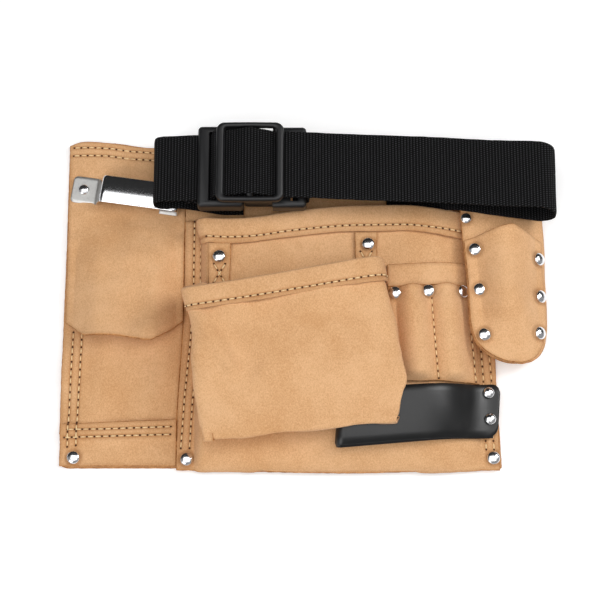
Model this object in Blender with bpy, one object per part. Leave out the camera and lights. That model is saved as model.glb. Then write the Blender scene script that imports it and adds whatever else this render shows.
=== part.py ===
"""Carpenter's nail apron with its belt, lying on its back.

Metres. X runs to the right of the apron, Y to its top and Z out of its front.
The panel's back face lies in Z = 0.
"""

import math
from collections import namedtuple

import bmesh
import bpy
from mathutils import Matrix, Vector

# Stock and clearances
PANEL_LEATHER = 0.0020
LEATHER = 0.0018
BINDING_LEATHER = 0.0015
LOOP_LEATHER = 0.0024
WEBBING = 0.0016
SHEET_METAL = 0.0012
GAP = 0.0003

# Back panel
PANEL_LEFT = -0.1750
PANEL_WIDTH = 0.3150
PANEL_BOTTOM = -0.1205
PANEL_HEIGHT = 0.2460
PANEL_TAPER = 0.0080
PANEL_CORNER = 0.0050

# Left pocket, its flap and the band over its foot
LEFT_MOUTH = 0.0400
LEFT_BULGE = 0.0060
BAND_HEIGHT = 0.0320
FLAP_FLAT = 0.0520
FLAP_LIFT = 0.0125
FLAP_WAVE = 0.0170

# Main pocket
MAIN_LEFT = -0.0885
MAIN_WIDTH = 0.2270
MAIN_BOTTOM = -0.1225
MAIN_HEIGHT = 0.1860
MAIN_SEAM = 0.0140
MAIN_WALL = 0.0075
MAIN_DEPTH = 0.0165
MAIN_FOOT = 0.0620
MAIN_RIGHT_SEAM = 0.0135
MAIN_RIGHT_FALL = 0.0240
MAIN_LEAN = 0.0060
MAIN_HEM = 0.0150
MAIN_SAG = 0.0080
HEM_RIGHT = 0.1240

# Riveted strips at the ends of the front pocket
TAB_WIDTH = 0.0155
TAB_HEIGHT = 0.0400
TAB_LEFT_X = -0.0620
TAB_RIGHT_X = 0.0444

# Front pocket, a bag sewn on along its root
FRONT_LEFT = -0.0825
FRONT_TOP_WIDTH = 0.1380
FRONT_TOP = 0.0100
FRONT_SLANT = 0.0250
FRONT_HEIGHT = 0.1090
FRONT_RISE = 0.0300
FRONT_FOOT_RISE = 0.0190
FRONT_HEM = 0.0150
FRONT_BACK_RISE = 0.0163
FRONT_ROOT_RISE = 0.0100
FRONT_LOOP_RISE = 0.0330

# Pencil pockets
PENCIL_LEFT = 0.0600
PENCIL_WIDTH = 0.0600
PENCIL_TOP = 0.0100
PENCIL_HEIGHT = 0.0710
PENCIL_BULGE = 0.0075
PENCIL_SEAM = 0.0040
PENCIL_BAND = 0.0160
PENCIL_RIVET_FLAT = 0.0061

# Holster
HOLSTER_LEFT = 0.1135
HOLSTER_WIDTH = 0.0615
HOLSTER_BOTTOM = -0.0480
HOLSTER_BACK_HEIGHT = 0.1280
HOLSTER_FRONT_HEIGHT = 0.0990
HOLSTER_BULGE = 0.0130
HOLSTER_MOUTH_PEAK = 0.0100

# Hammer loop
LOOP_RIGHT = 0.1390
LOOP_LENGTH = 0.1160
LOOP_WIDTH = 0.0385
LOOP_MIDDLE_Y = -0.0805
LOOP_GAP = 0.0080
LOOP_CORNER = 0.0070
LOOP_TILT = math.radians(4.6)

# Tape bracket
BRACKET_LEFT = -0.1735
BRACKET_FOOT = 0.0190
BRACKET_LENGTH = 0.0810
BRACKET_WIDTH = 0.0205
BRACKET_RISE = 0.0110
BRACKET_Y = 0.0885
BRACKET_TILT = math.radians(-8.0)

# Belt, slide and buckle
BELT_WIDTH = 0.0500
BELT_LEFT = -0.1100
BELT_RIGHT = 0.1812
BELT_Y = 0.0905
BUCKLE_SHIFT = 0.0030
BUCKLE_LEFT = -0.0780
BUCKLE_WIDTH = 0.0620
FEMALE_LENGTH = 0.0340
MALE_LENGTH = 0.0450
BUCKLE_THICK = 0.0135
BUCKLE_Z = 0.0280
BUCKLE_BAR = 0.0060
BUCKLE_SLOT = 0.0055
SLIDE_LEFT = -0.0644
SLIDE_LENGTH = 0.0494
SLIDE_WIDTH = 0.0600
SLIDE_RAIL = 0.0060
SLIDE_THICK = 0.0045
SLIDE_Z = 0.0470
SLEEVE_LEFT = -0.0450
SLEEVE_LENGTH = 0.1050
SLEEVE_SEAM = 0.0050

# Rivets
RIVET_CAP = 0.0095
RIVET_SMALL_CAP = 0.0082
RIVET_DOME = 0.0026
RIVET_SHANK = 0.0030
HOLSTER_RIVET_Y = {"left": (0.0350, 0.0050, -0.0284), "right": (0.0308, 0.0025, -0.0250)}

PANEL_RIGHT = PANEL_LEFT + PANEL_WIDTH
PANEL_TOP = PANEL_BOTTOM + PANEL_HEIGHT
MAIN_RIGHT = MAIN_LEFT + MAIN_WIDTH
MAIN_TOP = MAIN_BOTTOM + MAIN_HEIGHT
ON_PANEL = PANEL_LEATHER + GAP
SEAT = 0.0009
LOOP_SEAT = 0.0013
LAYER = LEATHER + GAP

Edge = namedtuple("Edge", "along shift")
FrontRow = namedtuple("FrontRow", "along left right left_root right_root")
HolsterRow = namedtuple("HolsterRow", "along left right")

# Shares of the panel's height, as the top edge falls to the right
PANEL_TOP_EDGE = (
    Edge(0.00, -0.008), Edge(0.03, 0.003), Edge(0.10, 0.000), Edge(0.20, -0.016),
    Edge(0.30, -0.012), Edge(0.42, 0.005), Edge(0.78, 0.005), Edge(1.00, -0.030),
)
# Shares of FLAP_WAVE, down from the flap's lower left corner
FLAP_EDGE = (
    Edge(0.00, 0.00), Edge(0.10, 0.52), Edge(0.20, 0.76), Edge(0.45, 0.78),
    Edge(0.60, 0.86), Edge(0.74, 1.00), Edge(0.88, 0.50), Edge(1.00, -0.05),
)
# Shares of FLAP_LIFT along the flap's lower edge
FLAP_HEIGHT_EDGE = (
    Edge(0.00, 0.10), Edge(0.14, 0.75), Edge(0.35, 1.00), Edge(0.55, 0.85),
    Edge(0.72, 1.05), Edge(0.90, 0.55), Edge(1.00, 0.20),
)
# Shares of MAIN_SAG, from the hem's left tip to its right end
MAIN_MOUTH = (
    Edge(0.00, -0.10), Edge(0.06, -0.62), Edge(0.12, -0.72), Edge(0.20, -0.62),
    Edge(0.34, -0.05), Edge(0.45, 0.28), Edge(0.56, 0.50), Edge(0.74, 0.56),
    Edge(0.88, 0.20), Edge(1.00, 0.05),
)
# Shares of the front pocket's top width, at heights from its foot to its mouth
FRONT_SIDES = (
    FrontRow(0.00, 0.080, 1.075, 0.135, 1.010), FrontRow(0.12, 0.060, 1.100, 0.120, 1.020),
    FrontRow(0.28, 0.038, 1.115, 0.100, 1.025), FrontRow(0.50, 0.018, 1.078, 0.090, 1.018),
    FrontRow(0.75, 0.006, 1.038, 0.087, 1.010), FrontRow(1.00, 0.000, 1.005, 0.087, 0.996),
)
# Shares of the holster's width, from its round foot to the belt
HOLSTER_SIDES = (
    HolsterRow(0.00, 0.50, 0.68), HolsterRow(0.02, 0.38, 0.80), HolsterRow(0.07, 0.22, 0.91),
    HolsterRow(0.14, 0.12, 0.97), HolsterRow(0.24, 0.08, 1.00), HolsterRow(0.50, 0.06, 1.00),
    HolsterRow(0.75, 0.02, 1.00), HolsterRow(1.00, 0.00, 0.97),
)


def clamp(value):
    """The value held between 0 and 1."""
    return min(1.0, max(0.0, value))


def ease(value):
    """A smooth step from 0 to 1."""
    held = clamp(value)
    return held * held * (3.0 - 2.0 * held)


def arch(value):
    """A quarter ellipse from 0 to 1, steep at its start and flat at its end."""
    return math.sqrt(1.0 - (1.0 - clamp(value)) ** 2)


def lerp(start, end, share):
    """The point or number at this share of the way."""
    return start + (end - start) * share


def read(table, column, along):
    """A column of a table at this place, eased between its rows."""
    for before, after in zip(table, table[1:]):
        if along <= after.along:
            share = clamp((along - before.along) / (after.along - before.along))
            return lerp(getattr(before, column), getattr(after, column), share)
    return getattr(table[-1], column)


def steps(count):
    """Equal shares from 0 to 1."""
    return [index / count for index in range(count + 1)]


def finish(name, colour, roughness, metallic=0.0):
    """A plain Principled material."""
    material = bpy.data.materials.new(name)
    material.use_nodes = True
    shader = material.node_tree.nodes["Principled BSDF"]
    shader.inputs["Base Color"].default_value = (*colour, 1.0)
    shader.inputs["Roughness"].default_value = roughness
    shader.inputs["Metallic"].default_value = metallic
    return material


def link(name, mesh, material, smooth_faces=True):
    """An object of this mesh in the scene."""
    piece = bpy.data.objects.new(name, mesh)
    bpy.context.scene.collection.objects.link(piece)
    mesh.materials.append(material)
    if smooth_faces:
        mesh.shade_smooth()
        mesh.set_sharp_from_angle(angle=math.radians(40))
    return piece


def sheet(name, material, place, across, along, thickness):
    """A leather sheet whose back face is place(u, v), thickened to its front."""
    mesh = bpy.data.meshes.new(name)
    points = [place(u, v) for v in along for u in across]
    width = len(across)
    faces = [
        (row * width + column, row * width + column + 1,
         (row + 1) * width + column + 1, (row + 1) * width + column)
        for row in range(len(along) - 1)
        for column in range(width - 1)
    ]
    mesh.from_pydata(points, [], faces)
    piece = link(name, mesh, material)
    solid = piece.modifiers.new("Leather", "SOLIDIFY")
    solid.thickness = thickness
    solid.offset = 1.0
    return piece


def loft(name, material, rings):
    """A closed solid through rings of points, with both ends capped."""
    mesh = bpy.data.meshes.new(name)
    builder = bmesh.new()
    rows = [[builder.verts.new(point) for point in ring] for ring in rings]
    for first, second in zip(rows, rows[1:]):
        for index in range(len(first)):
            following = (index + 1) % len(first)
            builder.faces.new((first[index], first[following], second[following], second[index]))
    builder.faces.new(list(reversed(rows[0])))
    builder.faces.new(rows[-1])
    bmesh.ops.triangulate(builder, faces=[face for face in builder.faces if len(face.verts) > 4])
    bmesh.ops.recalc_face_normals(builder, faces=builder.faces)
    builder.to_mesh(mesh)
    builder.free()
    return link(name, mesh, material)


def plate(name, material, outline, low, high):
    """A flat plate of this outline between two heights."""
    rings = [[Vector((x, y, height)) for x, y in outline] for height in (low, high)]
    return loft(name, material, rings)


def box_mesh(low, high):
    """A bmesh box between two corners."""
    builder = bmesh.new()
    bmesh.ops.create_cube(builder, size=1.0)
    middle = (Vector(low) + Vector(high)) / 2.0
    size = Vector(high) - Vector(low)
    bmesh.ops.scale(builder, vec=size, verts=builder.verts)
    bmesh.ops.translate(builder, vec=middle, verts=builder.verts)
    return builder


def block(name, material, low, high, edge):
    """A box with rounded edges."""
    builder = box_mesh(low, high)
    mesh = bpy.data.meshes.new(name)
    builder.to_mesh(mesh)
    builder.free()
    piece = link(name, mesh, material)
    if edge:
        rounding = piece.modifiers.new("Rounding", "BEVEL")
        rounding.width = edge
        rounding.segments = 2
    return piece


def cut(piece, cutter):
    """Takes the cutter's shape from the piece."""
    cutter.hide_render = True
    cutter.display_type = "WIRE"
    boolean = piece.modifiers.new("Cut", "BOOLEAN")
    boolean.operation = "DIFFERENCE"
    boolean.solver = "EXACT"
    boolean.object = cutter


def cut_box(piece, material, low, high):
    """Cuts a box out of the piece."""
    cut(piece, block(piece.name + "_cutter", material, low, high, 0.0))


def turned(name, material, profile, sides):
    """A solid turned about +Z from (radius, height) pairs that start and end on the axis."""
    mesh = bpy.data.meshes.new(name)
    builder = bmesh.new()
    rows = []
    for radius, height in profile:
        if radius == 0.0:
            rows.append([builder.verts.new((0.0, 0.0, height))])
            continue
        rows.append([
            builder.verts.new((radius * math.cos(turn), radius * math.sin(turn), height))
            for turn in (math.tau * side / sides for side in range(sides))
        ])
    for lower, upper in zip(rows, rows[1:]):
        for side in range(sides):
            following = (side + 1) % sides
            corners = [lower[side % len(lower)], lower[following % len(lower)],
                       upper[following % len(upper)], upper[side % len(upper)]]
            builder.faces.new(list(dict.fromkeys(corners)))
    bmesh.ops.recalc_face_normals(builder, faces=builder.faces)
    builder.to_mesh(mesh)
    builder.free()
    return link(name, mesh, material)


def locate(place, x, y):
    """The (u, v) of a sheet at which it passes over this place of the plan."""
    step = 0.001
    u, v = 0.5, 0.5
    for _ in range(40):
        here = place(u, v)
        across = (place(u + step, v) - here) / step
        along = (place(u, v + step) - here) / step
        left_x, left_y = x - here.x, y - here.y
        size = across.x * along.y - across.y * along.x
        u = clamp(u + 0.6 * (left_x * along.y - left_y * along.x) / size)
        v = clamp(v + 0.6 * (left_y * across.x - left_x * across.y) / size)
    return u, v


def rivet(name, metal, place, spot, stack, reach, pieces, cap=RIVET_CAP):
    """A domed rivet on a sheet's front, its shank through the pieces below.

    The sheet's back face is place(u, v), its front is stack above that, and the
    shank reaches this far below the cap.
    """
    step = 0.01
    u, v = locate(place, *spot)
    across = place(u + step, v) - place(u - step, v)
    normal = across.cross(place(u, v + step) - place(u, v - step)).normalized()
    radius, shank = cap / 2.0, RIVET_SHANK / 2.0
    profile = [
        (0.0, -reach), (shank, -reach), (shank, 0.0), (radius, 0.0),
        (radius * 0.90, RIVET_DOME * 0.50), (radius * 0.52, RIVET_DOME * 0.90), (0.0, RIVET_DOME),
    ]
    turn = normal.to_track_quat("Z", "Y").to_matrix().to_4x4()
    place_here = Matrix.Translation(place(u, v) + normal * (stack + GAP)) @ turn
    piece = turned(name, metal, profile, 12)
    piece.matrix_world = place_here
    hole = shank + GAP
    past = 0.003
    cutter = turned(name + "_hole", metal, [(0.0, -reach - past), (hole, -reach - past),
                                            (hole, past), (0.0, past)], 8)
    cutter.matrix_world = place_here
    for other in pieces:
        cut(other, cutter)
    return piece


def column_normal(place, columns, index, v, step):
    """A sheet's normal at one of its columns, as the mean of the faces beside it."""
    here = place(columns[index], v)
    along = place(columns[index], min(1.0, v + step)) - place(columns[index], v - step)
    total = Vector()
    if index:
        total += (here - place(columns[index - 1], v)).cross(along).normalized()
    if index < len(columns) - 1:
        total += (place(columns[index + 1], v) - here).cross(along).normalized()
    return total.normalized()


def binding(name, material, place, length, hem, columns, low, high, clearance):
    """A leather strip folded over a sheet's mouth, place(u, 1), at the columns from low to high."""
    inner = hem * 0.5
    front, back = LEATHER + clearance, -clearance
    top = GAP + BINDING_LEATHER
    section = (
        (-hem, front + BINDING_LEATHER), (-hem / 2.0, front + BINDING_LEATHER),
        (0.0, front + BINDING_LEATHER), (top * 0.75, front + BINDING_LEATHER * 0.7),
        (top * 1.15, LEATHER / 2.0), (top * 0.75, back - BINDING_LEATHER * 0.7),
        (0.0, back - BINDING_LEATHER), (-inner, back - BINDING_LEATHER),
        (-inner, back), (0.0, back), (GAP, back), (GAP, front),
        (0.0, front), (-hem / 2.0, front), (-hem, front),
    )
    rings = []
    for index, u in enumerate(columns):
        if not low <= u <= high:
            continue
        edge = (place(u, 1.0) - place(u, 0.99)).normalized()
        ring = []
        for rise, offset in section:
            v = 1.0 + min(0.0, rise) / length
            normal = column_normal(place, columns, index, v, hem / length / 2.0)
            ring.append(place(u, v) + normal * offset + edge * max(0.0, rise))
        rings.append(ring)
    return loft(name, material, rings)


def ribbon(name, material, path, side, width, thickness):
    """A strip along a path of points, with side as its width's direction at every point."""
    rings = []
    for index, point in enumerate(path):
        before = path[max(0, index - 1)]
        after = path[min(len(path) - 1, index + 1)]
        up = side.cross(after - before).normalized() * (thickness / 2.0)
        half = side * (width / 2.0)
        rings.append([point - half - up, point + half - up, point + half + up, point - half + up])
    return loft(name, material, rings)


def rounded_path(corners, per_turn):
    """Corners of (point, radius) joined by lines and arcs."""
    path = [Vector(corners[0][0])]
    for before, (corner, radius), after in zip(corners, corners[1:], corners[2:]):
        corner = Vector(corner)
        back = (Vector(before[0]) - corner).normalized()
        ahead = (Vector(after[0]) - corner).normalized()
        half = back.angle(ahead) / 2.0
        reach = radius / math.tan(half)
        middle = corner + (back + ahead).normalized() * (radius / math.sin(half))
        start, end = corner + back * reach - middle, corner + ahead * reach - middle
        whole = start.angle(end)
        count = max(2, round(per_turn * whole / math.pi))
        for index in range(count + 1):
            share = index / count
            path.append(middle + (start * math.sin((1.0 - share) * whole)
                                  + end * math.sin(share * whole)) / math.sin(whole))
    path.append(Vector(corners[-1][0]))
    return path


SUEDE = finish("suede", (0.71, 0.45, 0.23), 0.95)
SMOOTH_LEATHER = finish("black_leather", (0.018, 0.018, 0.019), 0.42)
BELT_CLOTH = finish("webbing", (0.013, 0.013, 0.014), 0.85)
PLASTIC = finish("plastic", (0.03, 0.031, 0.033), 0.45)
METAL = finish("nickel", (0.82, 0.83, 0.85), 0.12, 1.0)
CHROME = finish("chrome", (0.80, 0.81, 0.83), 0.08, 1.0)


def own(material, name):
    """A piece's own copy of a material."""
    copy = material.copy()
    copy.name = name
    return copy


# Back panel
def panel_edge_x(right, along):
    """The panel's left or right edge at this share of its height."""
    if right:
        return PANEL_RIGHT - PANEL_TAPER * along
    return PANEL_LEFT - PANEL_TAPER * 0.2 * along


def panel_top_y(share):
    return PANEL_TOP + PANEL_HEIGHT * read(PANEL_TOP_EDGE, "shift", share)


def build_panel():
    low_left = Vector((PANEL_LEFT, PANEL_BOTTOM))
    outline = []
    for index in range(5):
        turn = math.pi + math.pi / 2.0 * index / 4.0
        outline.append((low_left.x + PANEL_CORNER * (1.0 + math.cos(turn)),
                        low_left.y + PANEL_CORNER * (1.0 + math.sin(turn))))
    outline.append((PANEL_RIGHT, PANEL_BOTTOM))
    left, right = panel_edge_x(False, 1.0), panel_edge_x(True, 1.0)
    for row in reversed(PANEL_TOP_EDGE):
        outline.append((lerp(left, right, row.along), panel_top_y(row.along)))
    return plate("back_panel", own(SUEDE, "panel_suede"), outline, 0.0, PANEL_LEATHER)


# Left pocket, band and flap
BESIDE = 0.0010
BAND_TOP = PANEL_BOTTOM + BAND_HEIGHT
POCKET_FOOT = BAND_TOP - 0.008


def left_pocket_place(u, v):
    y = lerp(POCKET_FOOT, LEFT_MOUTH, v)
    right = main_left_x(y) - BESIDE
    x = lerp(PANEL_LEFT - PANEL_TAPER * 0.1, right, u)
    middle = ease((x - PANEL_LEFT - 0.014) / 0.018) * ease((right - x) / 0.018)
    bulge = LEFT_BULGE * middle * ease((y - BAND_TOP) / 0.030) * (0.55 + 0.45 * v)
    return Vector((x, y, ON_PANEL + bulge))


def band_place(u, v):
    top = BAND_TOP + 0.0035 * (u - 0.5)
    y = lerp(PANEL_BOTTOM + 0.0010, top, v)
    x = lerp(PANEL_LEFT, main_left_x(y) - BESIDE, u)
    return Vector((x, y, ON_PANEL + (LAYER + GAP) * ease((y - POCKET_FOOT + 0.0065) / 0.005)))


def flap_place(u, v):
    """The flap hangs from the panel's top, v = 1, and lifts at its wavy lower edge, v = 0."""
    low_y = -0.0150 - FLAP_WAVE * read(FLAP_EDGE, "shift", u)
    left = lerp(PANEL_LEFT + 0.0015, PANEL_LEFT - PANEL_TAPER * 0.2, v)
    x = lerp(left, MAIN_LEFT - BESIDE, u)
    share = (x - left) / PANEL_WIDTH
    high_y = panel_top_y(share) - 0.0008
    y = lerp(low_y, high_y, v)
    hang = clamp((FLAP_FLAT - y) / (FLAP_FLAT - low_y))
    pocket = LAYER + LEFT_BULGE * 1.25
    lift = pocket * ease((FLAP_FLAT + 0.008 - y) / 0.022) * ease((u + 0.02) / 0.18) * ease((1.02 - u) / 0.16)
    over_seam = LAYER * ease((FLAP_FLAT + 0.006 - y) / 0.012)
    edge = FLAP_LIFT * read(FLAP_HEIGHT_EDGE, "shift", u) * hang ** 2.2
    return Vector((x, y, ON_PANEL + max(lift, over_seam) + edge * 0.75))


# Main pocket
def main_left_x(y):
    """The pocket's left edge leans out a little to its foot."""
    return MAIN_LEFT - 0.0030 * ease((-0.010 - y) / 0.080)


def main_rise(x, y):
    """The back face of the pocket above the panel, as a share of its depth."""
    wall = ease((x - main_left_x(y) - MAIN_SEAM + 0.002) / MAIN_WALL)
    right = math.sin(math.pi / 2.0 * clamp((MAIN_RIGHT - MAIN_RIGHT_SEAM - x) / MAIN_RIGHT_FALL)) ** 0.9
    foot = arch((y - MAIN_BOTTOM) / MAIN_FOOT)
    return wall * right * (0.06 + 0.94 * foot)


def main_back(x, y):
    return ON_PANEL + MAIN_DEPTH * main_rise(x, y)


def main_front(x, y):
    return main_back(x, y) + LEATHER


def mouth_y(x):
    share = (x - MAIN_LEFT - 0.008) / (HEM_RIGHT - MAIN_LEFT - 0.008)
    return MAIN_TOP + MAIN_SAG * read(MAIN_MOUTH, "shift", clamp(share)) - 0.0025


def main_place(u, v):
    low = Vector((lerp(main_left_x(MAIN_BOTTOM), MAIN_RIGHT + 0.002, u), MAIN_BOTTOM))
    x_top = lerp(MAIN_LEFT, MAIN_RIGHT - 0.004, u)
    y = lerp(low.y - 0.0022 * math.sin(math.pi * u) ** 2, mouth_y(x_top), v)
    x = lerp(main_left_x(y), lerp(low.x, x_top, v) if u == 1.0 else MAIN_RIGHT - 0.002 * v, u)
    rise = main_rise(x, y)
    lean = MAIN_LEAN * ease((y - 0.036) / 0.026) * rise * ease((0.030 + MAIN_LEFT + MAIN_SEAM - x) / 0.030)
    return Vector((x - lean, y, ON_PANEL + MAIN_DEPTH * rise))


def main_u(x):
    return (x - MAIN_LEFT) / MAIN_WIDTH


def on_main(x, y, lift=0.0):
    """A point on the pocket's front face."""
    return Vector((x, y, main_front(x, y) + SEAT + lift))


# Tabs
def tab_place(middle_x, high_y):
    def place(u, v):
        x = middle_x + TAB_WIDTH * (u - 0.5) * (0.92 + 0.08 * v)
        return on_main(x, lerp(high_y - TAB_HEIGHT, high_y, v))
    return place


# Front pocket: v runs from the root along the bag's back, round its foot and up its front
def front_top_y(share):
    return FRONT_TOP - FRONT_SLANT / 2.0 + FRONT_SLANT * share ** 1.15 - 0.0012


def front_foot_y(share):
    return front_top_y(0.0) - FRONT_HEIGHT + 0.0020 + 0.0105 * share


def front_root_y(share):
    """The root is high on the right, where the bag hangs over the hammer loop."""
    return front_foot_y(share) + FRONT_ROOT_RISE + FRONT_LOOP_RISE * ease((share - 0.42) / 0.25)


FRONT_BEND = 0.22


def front_place(u, v):
    """A bag whose side walls rise steeply from the main pocket and lean outwards."""
    turn = math.pi * u
    side = math.copysign(abs(math.cos(turn)) ** 0.26, math.cos(turn))
    wall = abs(math.sin(turn)) ** 0.30
    share = 0.5 - 0.5 * side
    along = clamp((v - FRONT_BEND) / (1.0 - FRONT_BEND))
    behind = ease((FRONT_BEND * 1.15 - v) / (FRONT_BEND * 0.3))
    edges = {
        column: FRONT_LEFT + FRONT_TOP_WIDTH * read(FRONT_SIDES, column, along)
        for column in ("left", "right", "left_root", "right_root")
    }
    tuck = 0.0032 * behind
    left = lerp(edges["left_root"], edges["left"], wall * (1.0 - 0.6 * behind)) + tuck
    right = lerp(edges["right_root"], edges["right"], wall * (1.0 - 0.6 * behind)) - tuck
    x = lerp(left, right, share)
    foot, root, top = front_foot_y(share), front_root_y(share), front_top_y(share)
    front_rise = lerp(FRONT_FOOT_RISE, FRONT_RISE, ease(along * 1.1))
    if v <= FRONT_BEND:
        back = v / FRONT_BEND
        y = lerp(root, foot, ease(back))
        rise = FRONT_BACK_RISE * arch(back * 3.5) + (FRONT_FOOT_RISE - 0.0020 - FRONT_BACK_RISE) * back ** 4
        low = rise
    else:
        y = lerp(foot, top, along)
        rise = lerp(FRONT_FOOT_RISE - 0.0020, front_rise, arch(along * 5.0))
        low = (FRONT_BACK_RISE - LEATHER) * ease((root - y) / 0.0050)
        low = lerp(FRONT_FOOT_RISE - 0.0020, low, ease(along / 0.14))
    root_x = lerp(edges["left_root"], edges["right_root"], share)
    base = main_front(root_x, max(y, foot)) + SEAT + 0.0008 * (1.0 - wall)
    return Vector((x, y, base + lerp(low, rise, wall)))


# Pencil pockets
def pencil_place(u, v):
    x = PENCIL_LEFT + PENCIL_WIDTH * u + 0.0045 * (1.0 - v)
    y = lerp(PENCIL_TOP - PENCIL_HEIGHT, PENCIL_TOP - 0.0030 * (1.0 - u), v)
    half = PENCIL_WIDTH / 2.0 - PENCIL_SEAM
    inside = (PENCIL_WIDTH * u - PENCIL_SEAM) % half if 0.0 < u < 1.0 else 0.0
    at_mouth = ease((v - 0.72) / 0.10)
    flat = PENCIL_RIVET_FLAT * at_mouth
    tube = math.sin(math.pi * clamp((inside - flat) / (half - 2.0 * flat))) ** 1.1
    open_share = ease(v / 0.10) * (0.75 + 0.25 * v)
    mouth = 1.0 - 0.30 * at_mouth
    over_edge = 0.0007 * ease((u - 0.70) / 0.20)
    return on_main(x, y, PENCIL_BULGE * tube * open_share * mouth + over_edge)


def pencil_band_place(u, v):
    x = PENCIL_LEFT + (PENCIL_WIDTH - 0.003) * u
    low = PENCIL_TOP - 0.0030 * (1.0 - u) + SEAT
    return on_main(x, low + PENCIL_BAND * v)


# Holster
HOLSTER_BASE = ON_PANEL + MAIN_DEPTH + LAYER
HOLSTER_FLOOR = 0.0006


def holster_back_z(x):
    """Flat beside the pocket, then round and down at the right."""
    start = HOLSTER_LEFT + HOLSTER_WIDTH * 0.12
    reach = (x - start) / (HOLSTER_WIDTH * 0.90)
    return HOLSTER_FLOOR + (HOLSTER_BASE - HOLSTER_FLOOR) * arch(1.0 - clamp(reach))


def holster_x(u, along):
    left = HOLSTER_LEFT + HOLSTER_WIDTH * read(HOLSTER_SIDES, "left", along)
    right = HOLSTER_LEFT + HOLSTER_WIDTH * read(HOLSTER_SIDES, "right", along)
    return lerp(left, right, u)


def holster_back_place(u, v):
    x = holster_x(u, v)
    return Vector((x, HOLSTER_BOTTOM + HOLSTER_BACK_HEIGHT * v, holster_back_z(x)))


def holster_front_place(u, v):
    peak = HOLSTER_MOUTH_PEAK * (1.0 - abs(u - 0.58) / 0.58)
    height = HOLSTER_FRONT_HEIGHT - HOLSTER_MOUTH_PEAK + peak
    along = v * height / HOLSTER_BACK_HEIGHT
    x = lerp(holster_x(0.01, along), holster_x(0.975, along), u)
    inside = clamp((u - 0.24 - 0.06 * (1.0 - v)) / (0.61 - 0.06 * (1.0 - v)))
    bulge = HOLSTER_BULGE * math.sin(math.pi * inside) ** 0.9 * ease((v - 0.04) / 0.40)
    return Vector((x, HOLSTER_BOTTOM + 0.0006 + height * v, holster_back_z(x) + LAYER * 1.15 + bulge))


# Hammer loop
def loop_point(along, across, lift):
    """A point of the loop: along from its right end, across from its middle, lift over the pocket."""
    x = LOOP_RIGHT - along * math.cos(LOOP_TILT) + across * math.sin(LOOP_TILT)
    y = LOOP_MIDDLE_Y - along * math.sin(LOOP_TILT) + across * math.cos(LOOP_TILT)
    return Vector((x, y, main_front(x, y) + LOOP_SEAT + lift))


def build_loop(material):
    """A strap that lies on the pocket, folds at the left and comes back over the gap to its rivets."""
    half = LOOP_LEATHER / 2.0
    high = LOOP_LEATHER + LOOP_GAP + half
    closed = LOOP_LEATHER + GAP + half
    turn = (high - half) / 2.0
    path = [(0.003 + 0.0045 * index, half) for index in range(11)]
    path += [(0.070, half), (LOOP_LENGTH - turn, half)]
    for index in range(1, 7):
        angle = math.pi * index / 7.0
        path.append((LOOP_LENGTH - turn + turn * math.sin(angle), half + turn * (1.0 - math.cos(angle))))
    path += [(LOOP_LENGTH - turn, high), (0.080, high), (0.062, high), (0.046, high * 0.92),
             (0.036, lerp(high, closed, 0.42)), (0.028, lerp(high, closed, 0.80)), (0.021, closed + 0.0002),
             (0.016, closed), (0.011, closed), (LOOP_CORNER, closed), (LOOP_CORNER * 0.5, closed),
             (LOOP_CORNER * 0.13, closed), (0.0, closed)]
    rings = []
    for index, (along, lift) in enumerate(path):
        before, after = path[max(0, index - 1)], path[min(len(path) - 1, index + 1)]
        slope = Vector((after[0] - before[0], after[1] - before[1])).normalized() * half
        corner = max(0.0, LOOP_CORNER - along) if index > len(path) / 2 else 0.0
        width = LOOP_WIDTH - 2.0 * (LOOP_CORNER - math.sqrt(LOOP_CORNER ** 2 - corner ** 2))
        ring = []
        for across, sign in ((-0.5, -1), (-0.17, -1), (0.17, -1), (0.5, -1),
                             (0.5, 1), (0.17, 1), (-0.17, 1), (-0.5, 1)):
            ring.append(loop_point(along - sign * slope.y, across * width, lift + sign * slope.x))
        rings.append(ring)
    return loft("hammer_loop", material, rings)


def loop_front_place(u, v):
    """The back face of the loop's upper layer at its riveted end."""
    along = 0.020 * (1.0 - u)
    return loop_point(along, (v - 0.5) * LOOP_WIDTH, LOOP_LEATHER + GAP)


# Tape bracket
def build_bracket(material):
    """A bent strip: a foot on the flap, a raised plate, and a hidden foot turned in under it."""
    foot_z = ON_PANEL + LAYER + SHEET_METAL / 2.0
    high_z = foot_z + BRACKET_RISE
    end = BRACKET_LENGTH
    corners = [
        ((0.0, 0.0, foot_z), 0.0), ((BRACKET_FOOT, 0.0, foot_z), 0.0020),
        ((BRACKET_FOOT + 0.005, 0.0, high_z), 0.0030), ((end, 0.0, high_z), 0.0030),
        ((end, 0.0, foot_z), 0.0020), ((end - 0.014, 0.0, foot_z), 0.0),
    ]
    turn = Matrix.Rotation(BRACKET_TILT, 4, "Z")
    shift = Matrix.Translation(Vector((BRACKET_LEFT, BRACKET_Y, 0.0)))
    path = [shift @ turn @ point for point in rounded_path(corners, 8)]
    side = turn.to_3x3() @ Vector((0.0, 1.0, 0.0))
    return ribbon("tape_bracket", material, path, side, BRACKET_WIDTH, SHEET_METAL)


def bracket_foot_place(along):
    def place(u, v):
        offset = Vector((along + 0.004 * (u - 0.5), 0.008 * (v - 0.5), 0.0))
        offset = Matrix.Rotation(BRACKET_TILT, 3, "Z") @ offset
        return Vector((BRACKET_LEFT, BRACKET_Y, ON_PANEL + LAYER)) + offset
    return place


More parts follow.
